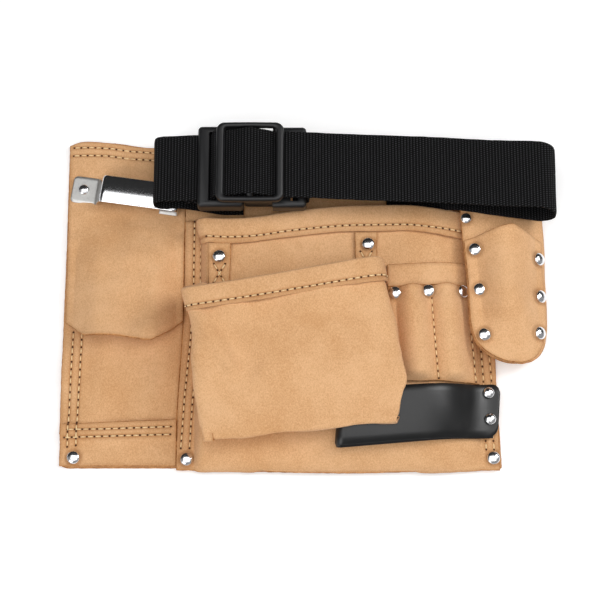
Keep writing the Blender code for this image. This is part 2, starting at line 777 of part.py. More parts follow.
# Belt
INNER_BAR_X = BUCKLE_LEFT + 0.0085 + BUCKLE_SLOT + BUCKLE_BAR / 2.0
MALE_RIGHT = BUCKLE_LEFT + FEMALE_LENGTH + MALE_LENGTH
MALE_BAR_X = MALE_RIGHT - BUCKLE_BAR / 2.0
BAR_Z = BUCKLE_Z + 0.0060
BAR_THICK = 0.0040
MALE_BAR_LOW = BUCKLE_Z + 0.0035
SLIDE_BAR_X = SLIDE_LEFT + SLIDE_LENGTH / 2.0
BELT_LOW_Z = ON_PANEL + WEBBING / 2.0
BELT_OVER_HOLSTER = HOLSTER_BASE + LAYER + GAP + WEBBING / 2.0
BELT_FRONT_Z = SLIDE_Z - GAP - WEBBING / 2.0

Lane = namedtuple("Lane", "along shift")
# The back layer's middle, in metres above BELT_Y, at places from the left fold to the right one
BACK_LANE = (
    Lane(0.00, 0.0022), Lane(0.20, 0.0032), Lane(0.40, 0.0034), Lane(0.57, 0.0036),
    Lane(0.66, 0.0045), Lane(0.74, 0.0010), Lane(0.84, -0.0032), Lane(0.97, -0.0085),
    Lane(1.00, -0.0088),
)
FRONT_LANE = (
    Lane(0.00, 0.0022), Lane(0.10, BUCKLE_SHIFT), Lane(0.39, BUCKLE_SHIFT), Lane(0.48, -0.0004),
    Lane(0.68, 0.0000), Lane(0.84, 0.0002), Lane(0.90, -0.0015), Lane(0.94, -0.0042),
    Lane(0.97, -0.0060), Lane(1.00, -0.0078),
)


def belt_path():
    """The belt's middle line: buckle, left fold, sleeve, over the holster, right fold, slide, buckle."""
    wrap = BAR_THICK / 2.0 + 2.0 * GAP + WEBBING / 2.0
    over, under = BAR_Z + wrap, BAR_Z - wrap
    past_bar = BUCKLE_BAR / 2.0 + 3.0 * GAP + WEBBING / 2.0
    male_under = MALE_BAR_LOW - 2.0 * GAP - WEBBING / 2.0
    front = BELT_FRONT_Z
    hump = SLIDE_Z + SLIDE_THICK + 2.0 * GAP + WEBBING / 2.0
    back_z = BUCKLE_Z + BUCKLE_THICK + 2.0 * GAP + WEBBING / 2.0
    corners = [
        ((INNER_BAR_X - 0.026, 0, under), 0),
        ((INNER_BAR_X + past_bar, 0, under), wrap * 0.85),
        ((INNER_BAR_X + past_bar, 0, over), wrap * 0.85),
        ((BUCKLE_LEFT - 0.004, 0, over - 0.0006), 0.010),
        ((BELT_LEFT, 0, over - 0.0010), 0.0068),
        ((BELT_LEFT, 0, 0.0195), 0.0068),
        ((-0.0900, 0, 0.0195), 0.010),
        ((-0.0620, 0, BELT_LOW_Z), 0.020),
        ((0.0720, 0, BELT_LOW_Z), 0.030),
        ((0.1100, 0, BELT_OVER_HOLSTER), 0.030),
        ((BELT_RIGHT, 0, BELT_OVER_HOLSTER - 0.0010), 0.0110),
        ((BELT_RIGHT, 0, front + 0.0008), 0.0110),
        ((SLIDE_LEFT + SLIDE_LENGTH - SLIDE_RAIL - 0.0015, 0, front), 0.0050),
        ((SLIDE_BAR_X + 0.0035, 0, hump), 0.0040),
        ((SLIDE_BAR_X - 0.0035, 0, hump), 0.0040),
        ((SLIDE_LEFT + SLIDE_RAIL + 0.0015, 0, front), 0.0050),
        ((SLIDE_LEFT - 0.0020, 0, front), 0.0013),
        ((SLIDE_LEFT - 0.0020, 0, back_z), 0.0013),
        ((MALE_BAR_X + past_bar, 0, back_z), 0.0030),
        ((MALE_BAR_X + past_bar, 0, male_under), 0.0030),
        ((MALE_BAR_X - BUCKLE_BAR / 2.0 - BUCKLE_SLOT + 0.0015, 0, male_under), 0),
    ]
    path = rounded_path(corners, 8)
    middle = (BELT_OVER_HOLSTER + front) / 2.0
    laned = []
    passed_left, passed_right = False, False
    for point in path:
        share = clamp((point.x - BELT_LEFT) / (BELT_RIGHT - BELT_LEFT))
        passed_left = passed_left or share < 0.02
        passed_right = passed_right or (share > 0.97 and point.z > middle)
        lane = FRONT_LANE if passed_right or not passed_left else BACK_LANE
        laned.append(Vector((point.x, BELT_Y + read(lane, "shift", share), point.z)))
    return laned


def build_belt(material):
    return ribbon("belt_webbing", material, belt_path(), Vector((0.0, 1.0, 0.0)), BELT_WIDTH, WEBBING)


def build_sleeve(material):
    """A strip over the belt on the panel, sewn down above and below it."""
    inner = BELT_LOW_Z + WEBBING / 2.0 + GAP
    middle_y = BELT_Y + 0.0034
    half = BELT_WIDTH / 2.0 + 0.0030

    def place(u, v):
        across = abs(v - 0.5) * 2.0
        y = middle_y + (v - 0.5) * 2.0 * (half + SLEEVE_SEAM)
        reach = (half + SLEEVE_SEAM - abs(y - middle_y)) - SLEEVE_SEAM
        lift = (inner - ON_PANEL + 0.0004) * ease(reach / 0.0022) if across < 1.0 else 0.0
        return Vector((SLEEVE_LEFT + SLEEVE_LENGTH * u, y, ON_PANEL + lift))

    whole = half + SLEEVE_SEAM
    edge = [0.0, SLEEVE_SEAM * 0.8, SLEEVE_SEAM + 0.0011, SLEEVE_SEAM + 0.0024, whole * 0.6]
    rows = [reach / (2.0 * whole) for reach in edge]
    rows = rows + [0.5] + [1.0 - row for row in reversed(rows)]
    return sheet("belt_sleeve", material, place, steps(5), rows, LEATHER)


# Slide and buckle
def build_slide(material):
    """A frame with a bar across its middle, which the belt passes over."""
    low_y, high_y = BELT_Y + BUCKLE_SHIFT - SLIDE_WIDTH / 2.0, BELT_Y + BUCKLE_SHIFT + SLIDE_WIDTH / 2.0
    right = SLIDE_LEFT + SLIDE_LENGTH
    piece = block("belt_slide", material, (SLIDE_LEFT, low_y, SLIDE_Z), (right, high_y, SLIDE_Z + SLIDE_THICK), 0.0014)
    wall = (SLIDE_WIDTH - BELT_WIDTH - 0.0022) / 2.0
    bar = 0.0025
    for low_x, high_x in ((SLIDE_LEFT + SLIDE_RAIL, SLIDE_BAR_X - bar), (SLIDE_BAR_X + bar, right - SLIDE_RAIL)):
        cut_box(piece, material, (low_x, low_y + wall, SLIDE_Z - 0.002), (high_x, high_y - wall, SLIDE_Z + 0.010))
    return piece


def build_buckle(material_a, material_b):
    """Two halves that meet end to end: each holds the belt round a bar."""
    low_y, high_y = BELT_Y + BUCKLE_SHIFT - BUCKLE_WIDTH / 2.0, BELT_Y + BUCKLE_SHIFT + BUCKLE_WIDTH / 2.0
    wall = (BUCKLE_WIDTH - BELT_WIDTH - 0.0024) / 2.0
    low_in, high_in = low_y + wall, high_y - wall
    top = BUCKLE_Z + BUCKLE_THICK
    right = BUCKLE_LEFT + FEMALE_LENGTH
    female = block("buckle_female", material_a, (BUCKLE_LEFT, low_y, BUCKLE_Z), (right, high_y, top), 0.0030)
    bar_low, bar_high = INNER_BAR_X - BUCKLE_BAR / 2.0, INNER_BAR_X + BUCKLE_BAR / 2.0
    under, over = BAR_Z - BAR_THICK / 2.0, BAR_Z + BAR_THICK / 2.0
    wrap_high = over + WEBBING + 5.0 * GAP
    cut_box(female, material_a, (BUCKLE_LEFT - 0.010, low_in, BUCKLE_Z - 0.010), (bar_low, high_in, wrap_high))
    cut_box(female, material_a, (BUCKLE_LEFT + 0.0085, low_in, BUCKLE_Z - 0.010), (bar_low, high_in, top + 0.010))
    cut_box(female, material_a, (bar_high, low_in, BUCKLE_Z - 0.010), (bar_high + BUCKLE_SLOT, high_in, top + 0.010))
    cut_box(female, material_a, (bar_low - 0.001, low_in, over), (bar_high + 0.001, high_in, top + 0.010))
    cut_box(female, material_a, (bar_low - 0.001, low_in, BUCKLE_Z - 0.010), (bar_high + 0.001, high_in, under))

    start = right + GAP
    shoulder = MALE_RIGHT - 0.0245
    male = block("buckle_male", material_b, (start, low_y, BUCKLE_Z), (MALE_RIGHT, high_y, top - 0.0015), 0.0030)
    for low, high in ((low_y - 0.010, low_y + 0.0040), (high_y - 0.0040, high_y + 0.010)):
        cut_box(male, material_b, (start - 0.010, low, BUCKLE_Z - 0.010), (shoulder, high, top + 0.010))
    bar_low = MALE_BAR_X - BUCKLE_BAR / 2.0
    cut_box(male, material_b, (bar_low - BUCKLE_SLOT, low_in, BUCKLE_Z - 0.010), (bar_low, high_in, top + 0.010))
    cut_box(male, material_b, (bar_low - 0.001, low_in, BUCKLE_Z - 0.010), (MALE_RIGHT + 0.010, high_in, MALE_BAR_LOW))
    return female, male


def main():
    for thing in list(bpy.data.objects):
        bpy.data.objects.remove(thing)

    panel = build_panel()
    left_pocket = sheet("left_pocket", own(SUEDE, "left_pocket_suede"), left_pocket_place, steps(12), steps(9), LEATHER)
    band = sheet("left_foot_band", own(SUEDE, "band_suede"), band_place, steps(6),
                 [0.0, 0.30, 0.46, 0.56, 0.64, 0.74, 1.0], LEATHER)
    flap = sheet("left_flap", own(SUEDE, "flap_suede"), flap_place, steps(14), steps(11), LEATHER)

    kink = 1.0 - MAIN_RIGHT_SEAM / MAIN_WIDTH
    fall = [kink - MAIN_RIGHT_FALL / MAIN_WIDTH * share for share in (1.0, 0.78, 0.58, 0.40, 0.24, 0.11, 0.0)]
    wall_columns = [0.0, 0.030, 0.052, 0.062, 0.070, 0.080, 0.090, 0.12, 0.22, 0.36, 0.50, 0.64, 0.75, *fall,
                    (kink + 1.0) / 2.0, 1.0]
    main_rows = [0.0, 0.008, 0.03, 0.07, 0.13, 0.21, 0.34, 0.52, 0.72, 0.84, 0.92, 0.96, 1.0]
    main_pocket = sheet("main_pocket", own(SUEDE, "main_pocket_suede"), main_place, wall_columns, main_rows, LEATHER)
    main_binding = binding("main_pocket_binding", own(SUEDE, "main_binding_suede"), main_place,
                           MAIN_HEIGHT, MAIN_HEM, wall_columns, 0.075, main_u(HEM_RIGHT), 3.6 * GAP)

    tab_high = MAIN_TOP - MAIN_HEM
    tabs = {}
    for name, x, drop in (("pocket_tab_left", TAB_LEFT_X, 0.0080), ("pocket_tab_right", TAB_RIGHT_X, 0.0)):
        place = tab_place(x, tab_high - drop)
        tabs[name] = (place, sheet(name, own(SUEDE, name + "_suede"), place, steps(2), steps(5), LEATHER))

    front_columns = [0.0, 0.002, 0.020, *steps(16)[1:-1], 0.980, 0.998, 1.0]
    hem_rows = [1.0 - FRONT_HEM / FRONT_HEIGHT * (1.0 - FRONT_BEND) * share for share in (1.0, 0.5, 0.0)]
    front_rows = [0.0, 0.016, 0.035, 0.06, 0.14, 0.19, FRONT_BEND, 0.24, 0.28, 0.36, 0.455, 0.51, 0.68, *hem_rows]
    front_pocket = sheet("front_pocket", own(SUEDE, "front_pocket_suede"), front_place, front_columns, front_rows, LEATHER)
    front_length = FRONT_HEIGHT / (1.0 - FRONT_BEND)
    binding("front_pocket_binding", own(SUEDE, "front_binding_suede"), front_place,
            front_length, FRONT_HEM, front_columns, front_columns[1], front_columns[-2], 2.2 * GAP)

    tube = PENCIL_WIDTH / 2.0 - PENCIL_SEAM
    pencil_columns = [0.0, PENCIL_SEAM, PENCIL_WIDTH / 2.0, PENCIL_WIDTH - PENCIL_SEAM, PENCIL_WIDTH]
    for start in (PENCIL_SEAM, PENCIL_WIDTH / 2.0):
        pencil_columns += [lerp(start + PENCIL_RIVET_FLAT, start + tube - PENCIL_RIVET_FLAT, share) for share in steps(6)]
    pencil = sheet("pencil_pocket", own(SUEDE, "pencil_suede"), pencil_place,
                   [column / PENCIL_WIDTH for column in sorted(pencil_columns)],
                   [0.0, 0.06, 0.14, 0.35, 0.60, 0.74, 0.79, 0.84, 1.0], LEATHER)
    sheet("pencil_band", own(SUEDE, "pencil_band_suede"), pencil_band_place, steps(10), steps(1), LEATHER)

    holster_back = sheet("holster_back", own(SUEDE, "holster_back_suede"), holster_back_place, steps(10),
                         [0.0, 0.02, 0.07, 0.14, 0.24, 0.50, 0.75, 1.0], LEATHER)
    holster_front = sheet("holster_front", own(SUEDE, "holster_front_suede"), holster_front_place, steps(14),
                          [0.0, 0.03, 0.09, 0.18, 0.30, 0.45, 0.65, 0.85, 1.0], LEATHER)

    loop = build_loop(SMOOTH_LEATHER)
    bracket = build_bracket(CHROME)
    build_belt(BELT_CLOTH)
    build_sleeve(own(SUEDE, "sleeve_suede"))
    build_slide(own(PLASTIC, "slide_plastic"))
    build_buckle(own(PLASTIC, "female_plastic"), own(PLASTIC, "male_plastic"))

    two = 2.0 * LAYER
    tail = ON_PANEL + LAYER - GAP
    for name, place, spot, top in (
        ("rivet_foot_left", band_place, (-0.1653, -0.1137), band),
        ("rivet_foot_middle", main_place, (-0.0845, -0.1149), main_pocket),
        ("rivet_foot_right", main_place, (0.1344, -0.1141), main_pocket),
    ):
        rivet(name, METAL, place, spot, LEATHER, tail, (top, panel))
    for name, tab, spot in (
        ("rivet_tab_left", "pocket_tab_left", (-0.0623, 0.0304)),
        ("rivet_tab_right", "pocket_tab_right", (0.0459, 0.0397)),
    ):
        place, piece = tabs[tab]
        rivet(name, METAL, place, spot, LEATHER, two + SEAT, (piece, main_pocket))
    for name, x, y in (("left", 0.0650, 0.0028), ("middle", 0.0890, 0.0044), ("right", 0.1138, 0.0058)):
        rivet("rivet_pencil_" + name, METAL, pencil_place, (x, y), LEATHER, two + SEAT, (pencil, main_pocket))
    rivet("rivet_holster_top", METAL, holster_back_place, (0.1176, 0.0592), LEATHER, 0.0105,
          (holster_back, main_binding, main_pocket), RIVET_SMALL_CAP)
    for side, x_column in (("left", (0.1234, 0.1260, 0.1283)), ("right", (0.1700, 0.1702, 0.1685))):
        for level, x, y in zip(("high", "middle", "low"), x_column, HOLSTER_RIVET_Y[side]):
            rivet("rivet_holster_%s_%s" % (side, level), METAL, holster_front_place, (x, y), LEATHER,
                  two + SEAT, (holster_front, holster_back))
    for name, spot in (("high", (0.1313, -0.0683)), ("low", (0.1320, -0.0873))):
        rivet("rivet_loop_" + name, METAL, loop_front_place, spot, LOOP_LEATHER + 1.5 * GAP,
              ON_PANEL + LEATHER + LOOP_SEAT + 2.0 * LOOP_LEATHER + 2.5 * GAP, (loop, main_pocket, panel), RIVET_SMALL_CAP)
    for name, along in (("outer", BRACKET_FOOT * 0.45), ("inner", BRACKET_LENGTH - 0.0075)):
        place = bracket_foot_place(along)
        foot = place(0.5, 0.5)
        rivet("rivet_bracket_" + name, METAL, place, (foot.x, foot.y), SHEET_METAL,
              ON_PANEL + LAYER + SHEET_METAL, (bracket, flap, panel), RIVET_SMALL_CAP)


main()
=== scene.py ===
"""Looks of a carpenter's nail apron with its belt, lying on its back on a pale floor.

Metres. X runs to the right of the apron, Y to its top and Z out of its front.
The leather sheets are drawn again on fine grids over the solids they stand for.
"""

import logging
import math
from dataclasses import dataclass
from enum import Enum
from typing import Callable, Sequence

import bmesh
import bpy
import numpy as np
from mathutils import Matrix, Vector


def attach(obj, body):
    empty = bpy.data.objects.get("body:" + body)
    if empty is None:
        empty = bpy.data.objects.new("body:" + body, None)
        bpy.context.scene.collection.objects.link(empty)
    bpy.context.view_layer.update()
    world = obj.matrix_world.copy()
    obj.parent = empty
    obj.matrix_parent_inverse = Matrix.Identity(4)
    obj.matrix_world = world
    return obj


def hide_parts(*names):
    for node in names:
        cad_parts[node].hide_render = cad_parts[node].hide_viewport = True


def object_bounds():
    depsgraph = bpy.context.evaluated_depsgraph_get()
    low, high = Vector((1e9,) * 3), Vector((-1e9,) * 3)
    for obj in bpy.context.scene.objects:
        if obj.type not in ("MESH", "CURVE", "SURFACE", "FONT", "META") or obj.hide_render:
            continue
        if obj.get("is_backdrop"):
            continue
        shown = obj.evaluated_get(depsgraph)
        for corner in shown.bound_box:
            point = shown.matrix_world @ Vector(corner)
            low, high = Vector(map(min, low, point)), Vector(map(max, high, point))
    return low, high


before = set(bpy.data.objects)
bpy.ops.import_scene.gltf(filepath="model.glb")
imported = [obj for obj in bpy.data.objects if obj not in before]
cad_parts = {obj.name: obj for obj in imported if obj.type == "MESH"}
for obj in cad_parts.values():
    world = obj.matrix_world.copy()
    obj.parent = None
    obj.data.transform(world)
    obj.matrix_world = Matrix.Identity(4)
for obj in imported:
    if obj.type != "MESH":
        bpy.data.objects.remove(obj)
CAD_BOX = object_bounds()

Array = np.ndarray
Place = Callable[[Array, Array], Array]
Table = Sequence[Sequence[float]]
LOG = logging.getLogger("apron")
BODY = "root"

# Stock and clearances
PANEL_LEATHER = 0.0020
LEATHER = 0.0018
BINDING_LEATHER = 0.0015
LOOP_LEATHER = 0.0024
WEBBING = 0.0016
SHEET_METAL = 0.0012
GAP = 0.0003
SEAT = 0.0009
LOOP_SEAT = 0.0013
ON_PANEL = PANEL_LEATHER + GAP
LAYER = LEATHER + GAP

# Rivets: cap widths and the places that a sheet's dent and its cap share
CAP = 0.0095
SMALL_CAP = 0.0082
FOOT_RIVETS = ((-0.1653, -0.1137), (-0.0845, -0.1149), (0.1344, -0.1141))
HOLSTER_TOP_RIVET = (0.1176, 0.0592)


# Numbers
def clamp(value: Array) -> Array:
    """Holds values between 0 and 1."""
    return np.clip(value, 0.0, 1.0)


def ease(value: Array) -> Array:
    """A smooth step from 0 to 1."""
    held = clamp(value)
    return held * held * (3.0 - 2.0 * held)


def arch(value: Array) -> Array:
    """A quarter ellipse from 0 to 1, steep at its start and flat at its end."""
    return np.sqrt(1.0 - (1.0 - clamp(value)) ** 2)


def lerp(start: Array, end: Array, share: Array) -> Array:
    """The value at this share of the way."""
    return start + (end - start) * share


def unit(vectors: Array) -> Array:
    """Vectors of length one."""
    return vectors / np.maximum(np.linalg.norm(vectors, axis=-1, keepdims=True), 1e-12)


def xyz(x: Array, y: Array, z: Array) -> Array:
    """Points from their three coordinates."""
    return np.stack(np.broadcast_arrays(x, y, z), axis=-1).astype(float)


def read(table: Table, along: Array, column: int = 1) -> Array:
    """Reads a table smoothly.

    Args:
        table: Rows whose first number is the place along.
        along: Where to read.
        column: Which number of the row to read.

    Returns:
        The values, on a curve through the rows that doesn't overshoot.
    """
    rows = np.array(table, float)
    x, y = rows[:, 0], rows[:, column]
    step = np.diff(x)
    slope = np.diff(y) / step
    before, after = slope[:-1], slope[1:]
    both = before + after
    inner = np.where(before * after > 0.0, 2.0 * before * after / np.where(both == 0.0, 1.0, both), 0.0)
    tangent = np.concatenate([slope[:1], inner, slope[-1:]])
    index = np.clip(np.searchsorted(x, along) - 1, 0, len(step) - 1)
    reach = step[index]
    share = clamp((along - x[index]) / reach)
    square, cube = share ** 2, share ** 3
    return ((2.0 * cube - 3.0 * square + 1.0) * y[index]
            + (cube - 2.0 * square + share) * reach * tangent[index]
            + (3.0 * square - 2.0 * cube) * y[index + 1]
            + (cube - square) * reach * tangent[index + 1])


def shares(length: float, pitch: float, fine: Sequence[tuple[float, float, float]] = ()) -> Array:
    """Shares from 0 to 1, closer together at fine places.

    Args:
        length: Length in metres.
        pitch: Usual distance between samples.
        fine: Places along, half widths and pitches, in metres.

    Returns:
        The shares in order.
    """
    fields = np.linspace(0.0, 1.0, 4001)
    density = np.full_like(fields, 1.0 / pitch)
    for middle, half, close in fine:
        density += np.exp(-(((fields * length - middle) / half) ** 4)) * max(0.0, 1.0 / close - 1.0 / pitch)
    total = np.concatenate([[0.0], np.cumsum((density[1:] + density[:-1]) / 2.0)])
    count = max(3, int(round(total[-1] / 4000.0 * length)))
    return np.interp(np.linspace(0.0, total[-1], count + 1), total, fields)


def run_of(path: Array) -> Array:
    """How far along a path each of its points is."""
    return np.concatenate([[0.0], np.cumsum(np.linalg.norm(np.diff(path, axis=0), axis=1))])


def taken(rows: Array, run: Array, places: Array) -> Array:
    """Rows read in straight lines at places along a run."""
    return np.stack([np.interp(places, run, column) for column in rows.T], axis=-1)


def edge_height(share: float, flat: float, fall: float) -> float:
    """A strap's half height from its middle, 1 up to the flat share and lower over the fall."""
    return 1.0 - 0.9 * max(0.0, abs(share) - flat) / fall


def narrowed(width: float, corner: float, near: Array) -> Array:
    """A strap's width where its round end corners take some off."""
    return width - 2.0 * (corner - np.sqrt(corner ** 2 - near ** 2))


def from_segments(points: Array, line: Table) -> Array:
    """Distances in the plan from points to a line of corners."""
    here = points[..., :2]
    best = np.full(here.shape[:-1], np.inf)
    for start, end in zip(line, line[1:]):
        first, step = np.array(start[:2]), np.array(end[:2]) - np.array(start[:2])
        along = clamp(((here - first) @ step) / max(float(step @ step), 1e-12))
        best = np.minimum(best, np.linalg.norm(here - first - along[..., None] * step, axis=-1))
    return best


@dataclass(frozen=True)
class Ripple:
    """Soft unevenness as a sum of plane waves, the same on every run.

    Waves are (wavelength, height) pairs in metres.
    """

    seed: int
    waves: tuple[tuple[float, float], ...] = ((0.060, 0.00035), (0.022, 0.00014), (0.009, 0.00005))
    count: int = 7

    def __call__(self, points: Array) -> Array:
        """The height of the unevenness at the points."""
        random = np.random.default_rng(self.seed)
        total = np.zeros(points.shape[:-1])
        for length, height in self.waves:
            for _ in range(self.count):
                way = unit(random.normal(size=3) * (1.0, 1.0, 0.6))
                turn = random.uniform(0.0, math.tau)
                pace = math.tau / length * random.uniform(0.7, 1.35)
                total += height * math.sqrt(2.0 / self.count) * np.sin(points @ way * pace + turn)
        return total


# Shaders
@dataclass(frozen=True)
class Value:
    """A number socket that adds Math nodes when it is used in an expression."""

    shader: "Shader"
    socket: bpy.types.NodeSocket

    def _with(self, operation: str, first: object, second: object) -> "Value":
        """The socket of a Math node on two terms."""
        return self.shader.value("ShaderNodeMath", {"operation": operation}, {0: first, 1: second})

    def __add__(self, other: object) -> "Value":
        """Sum."""
        return self._with("ADD", self, other)

    def __radd__(self, other: object) -> "Value":
        """Sum, with the number first."""
        return self._with("ADD", other, self)

    def __sub__(self, other: object) -> "Value":
        """Difference."""
        return self._with("SUBTRACT", self, other)

    def __rsub__(self, other: object) -> "Value":
        """Difference, with the number first."""
        return self._with("SUBTRACT", other, self)

    def __mul__(self, other: object) -> "Value":
        """Product."""
        return self._with("MULTIPLY", self, other)

    def __rmul__(self, other: object) -> "Value":
        """Product, with the number first."""
        return self._with("MULTIPLY", other, self)

    def __pow__(self, other: object) -> "Value":
        """Power."""
        return self._with("POWER", self, other)

    def above(self, low: float, high: float) -> "Value":
        """A smooth step from 0 at low to 1 at high."""
        return self.shader.value(
            "ShaderNodeMapRange", {"interpolation_type": "SMOOTHSTEP"},
            {"Value": self.socket, "From Min": low, "From Max": high},
        )


def linear(red: float, green: float, blue: float) -> tuple[float, float, float]:
    """Scene colour of a display colour given in 0 to 255."""
    shares_of = (channel / 255.0 for channel in (red, green, blue))
    return tuple(c / 12.92 if c <= 0.04045 else ((c + 0.055) / 1.055) ** 2.4 for c in shares_of)


def feed(tree: bpy.types.NodeTree, node: bpy.types.Node, inputs: dict[object, object]) -> None:
    """Sets a node's inputs to numbers, or links them to sockets and values."""
    for key, given in inputs.items():
        if isinstance(given, Value):
            given = given.socket
        if isinstance(given, bpy.types.NodeSocket):
            tree.links.new(given, node.inputs[key])
        else:
            node.inputs[key].default_value = given


def add_node(tree: bpy.types.NodeTree, kind: str, settings: dict[str, object],
             inputs: dict[object, object]) -> bpy.types.Node:
    """Adds a node to a material's, a world's or a geometry tree.

    Args:
        tree: The tree.
        kind: The node's type.
        settings: Its properties, set first.
        inputs: Values or sockets for its inputs.

    Returns:
        The node.
    """
    node = tree.nodes.new(kind)
    for key, setting in settings.items():
        setattr(node, key, setting)
    feed(tree, node, inputs)
    return node


class Shader:
    """Builds one material's nodes."""

    def __init__(self, name: str, roughness: float, metallic: float = 0.0, sheen: float = 0.0,
                 specular: float = 0.5) -> None:
        """Makes the material and sets what is the same all over it."""
        self.material = bpy.data.materials.new(name)
        self.material.use_nodes = True
        self.tree = self.material.node_tree
        self.main = self.tree.nodes["Principled BSDF"]
        feed(self.tree, self.main, {"Roughness": roughness, "Metallic": metallic, "Sheen Weight": sheen,
                                    "Specular IOR Level": specular})

    def node(self, kind: str, settings: dict[str, object], inputs: dict[object, object]) -> bpy.types.Node:
        """Adds a node to the material."""
        return add_node(self.tree, kind, settings, inputs)

    def value(self, kind: str, settings: dict[str, object], inputs: dict[object, object]) -> Value:
        """Adds a node and gives its first output as a number."""
        return Value(self, self.node(kind, settings, inputs).outputs[0])

    def place(self, stretch: tuple[float, float, float] = (1.0, 1.0, 1.0)) -> bpy.types.NodeSocket:
        """The piece's own place in metres, stretched."""
        here = self.node("ShaderNodeTexCoord", {}, {}).outputs["Object"]
        return self.node("ShaderNodeMapping", {}, {"Vector": here, "Scale": stretch}).outputs[0]

    def noise(self, scale: float, detail: float = 2.0, vector: bpy.types.NodeSocket | None = None) -> Value:
        """A soft random pattern with this many grains to the metre."""
        vector = vector or self.place()
        return self.value("ShaderNodeTexNoise", {}, {"Vector": vector, "Scale": scale, "Detail": detail,
                                                      "Roughness": 0.6})

    def attribute(self, name: str) -> Value:
        """A number stored on the mesh."""
        return Value(self, self.node("ShaderNodeAttribute", {"attribute_name": name}, {}).outputs["Fac"])

    def mix(self, factor: object, first: object, second: object) -> bpy.types.NodeSocket:
        """A colour between two colours or sockets."""
        given = {0: factor, 6: first, 7: second}
        inputs = {key: (*item, 1.0) if isinstance(item, tuple) else item for key, item in given.items()}
        return self.node("ShaderNodeMix", {"data_type": "RGBA"}, inputs).outputs[2]

    def finish(self, colour: bpy.types.NodeSocket, height: Value, strength: float, reach: float,
               roughness: Value | None = None) -> bpy.types.Material:
        """Feeds the shader.

        Args:
            colour: Base colour.
            height: Height for the bump.
            strength: The bump's strength.
            reach: The bump's height in metres.
            roughness: Roughness that varies, if any.

        Returns:
            The material.
        """
        bump = self.node("ShaderNodeBump", {}, {"Height": height, "Strength": strength, "Distance": reach})
        links = {"Base Color": colour, "Normal": bump.outputs[0]}
        if roughness is not None:
            links["Roughness"] = roughness
        feed(self.tree, self.main, links)
        return self.material


@dataclass(frozen=True)
class Suede:
    """Split leather with a short fuzzy nap."""

    name: str = "suede_nap"
    pale: tuple[float, float, float] = linear(230, 184, 138)
    deep: tuple[float, float, float] = linear(205, 154, 105)
    # dark brown of the nap's specks, and of the painted shade in stitch grooves and round rivet caps
    hollow: tuple[float, float, float] = linear(158, 104, 58)
    rim: float = 0.0030

    def material(self) -> bpy.types.Material:
        """The nap, mottled, with painted shade in the stitch grooves and round the rivet caps, and darker
        towards its cut edges.
        """
        shader = Shader(self.name, 0.96, sheen=0.10, specular=0.12)
        shader.main.inputs["Sheen Roughness"].default_value = 0.6
        clouds = shader.noise(18.0, 2.0)
        blotch = shader.noise(95.0, 2.0)
        nap = shader.noise(1050.0, 3.0, shader.place((1.2, 0.8, 1.0)))
        fuzz = shader.noise(2300.0, 2.0)
        tone = (clouds * 0.34 + blotch * 0.12 + nap * 0.54).above(0.35, 0.65)
        colour = shader.mix(tone, self.deep, self.pale)
        specks = fuzz.above(0.52, 0.70) * 0.22
        colour = shader.mix(specks, colour, self.hollow)
        rim = 1.0 - shader.attribute("edge").above(0.0, self.rim)
        # painted shade: the nap darkens along the stitch grooves and in rings round the rivet caps; the rim
        # term darkens it towards the cut edges
        groove = shader.attribute("groove") * 0.75 + rim * 0.30
        colour = shader.mix(groove * (0.75 + 0.5 * fuzz), colour, self.hollow)
        height = nap * 0.60 + fuzz * 0.30 + blotch * 0.35
        return shader.finish(colour, height, 0.50, 0.00035)


@dataclass(frozen=True)
class CutEdge:
    """The raw edge of split leather, darker and fibrous."""

    name: str = "suede_cut_edge"
    pale: tuple[float, float, float] = linear(205, 150, 96)
    dark: tuple[float, float, float] = linear(150, 96, 54)

    def material(self) -> bpy.types.Material:
        """Fibres in uneven layers."""
        shader = Shader(self.name, 0.95, specular=0.15)
        layers = shader.noise(700.0, 4.0)
        patches = shader.noise(160.0, 2.0)
        colour = shader.mix((layers * 0.6 + patches * 0.4).above(0.35, 0.65), self.dark, self.pale)
        return shader.finish(colour, layers, 0.6, 0.0004)


@dataclass(frozen=True)
class SmoothHide:
    """Black finished leather with a fine grain and a soft gloss."""

    name: str = "black_hide"
    tone: tuple[float, float, float] = linear(9, 9, 10)
    worn: tuple[float, float, float] = linear(20, 19, 19)

    def material(self) -> bpy.types.Material:
        """The grain, with a little wear."""
        shader = Shader(self.name, 0.40, specular=0.5)
        grain = shader.value("ShaderNodeTexVoronoi", {}, {"Vector": shader.place(), "Scale": 1500.0})
        clouds = shader.noise(60.0, 3.0)
        colour = shader.mix(clouds.above(0.50, 0.75), self.tone, self.worn)
        height = grain * 0.6 + shader.noise(350.0, 3.0) * 0.8
        return shader.finish(colour, height, 0.22, 0.00012, roughness=0.27 + clouds * 0.16)


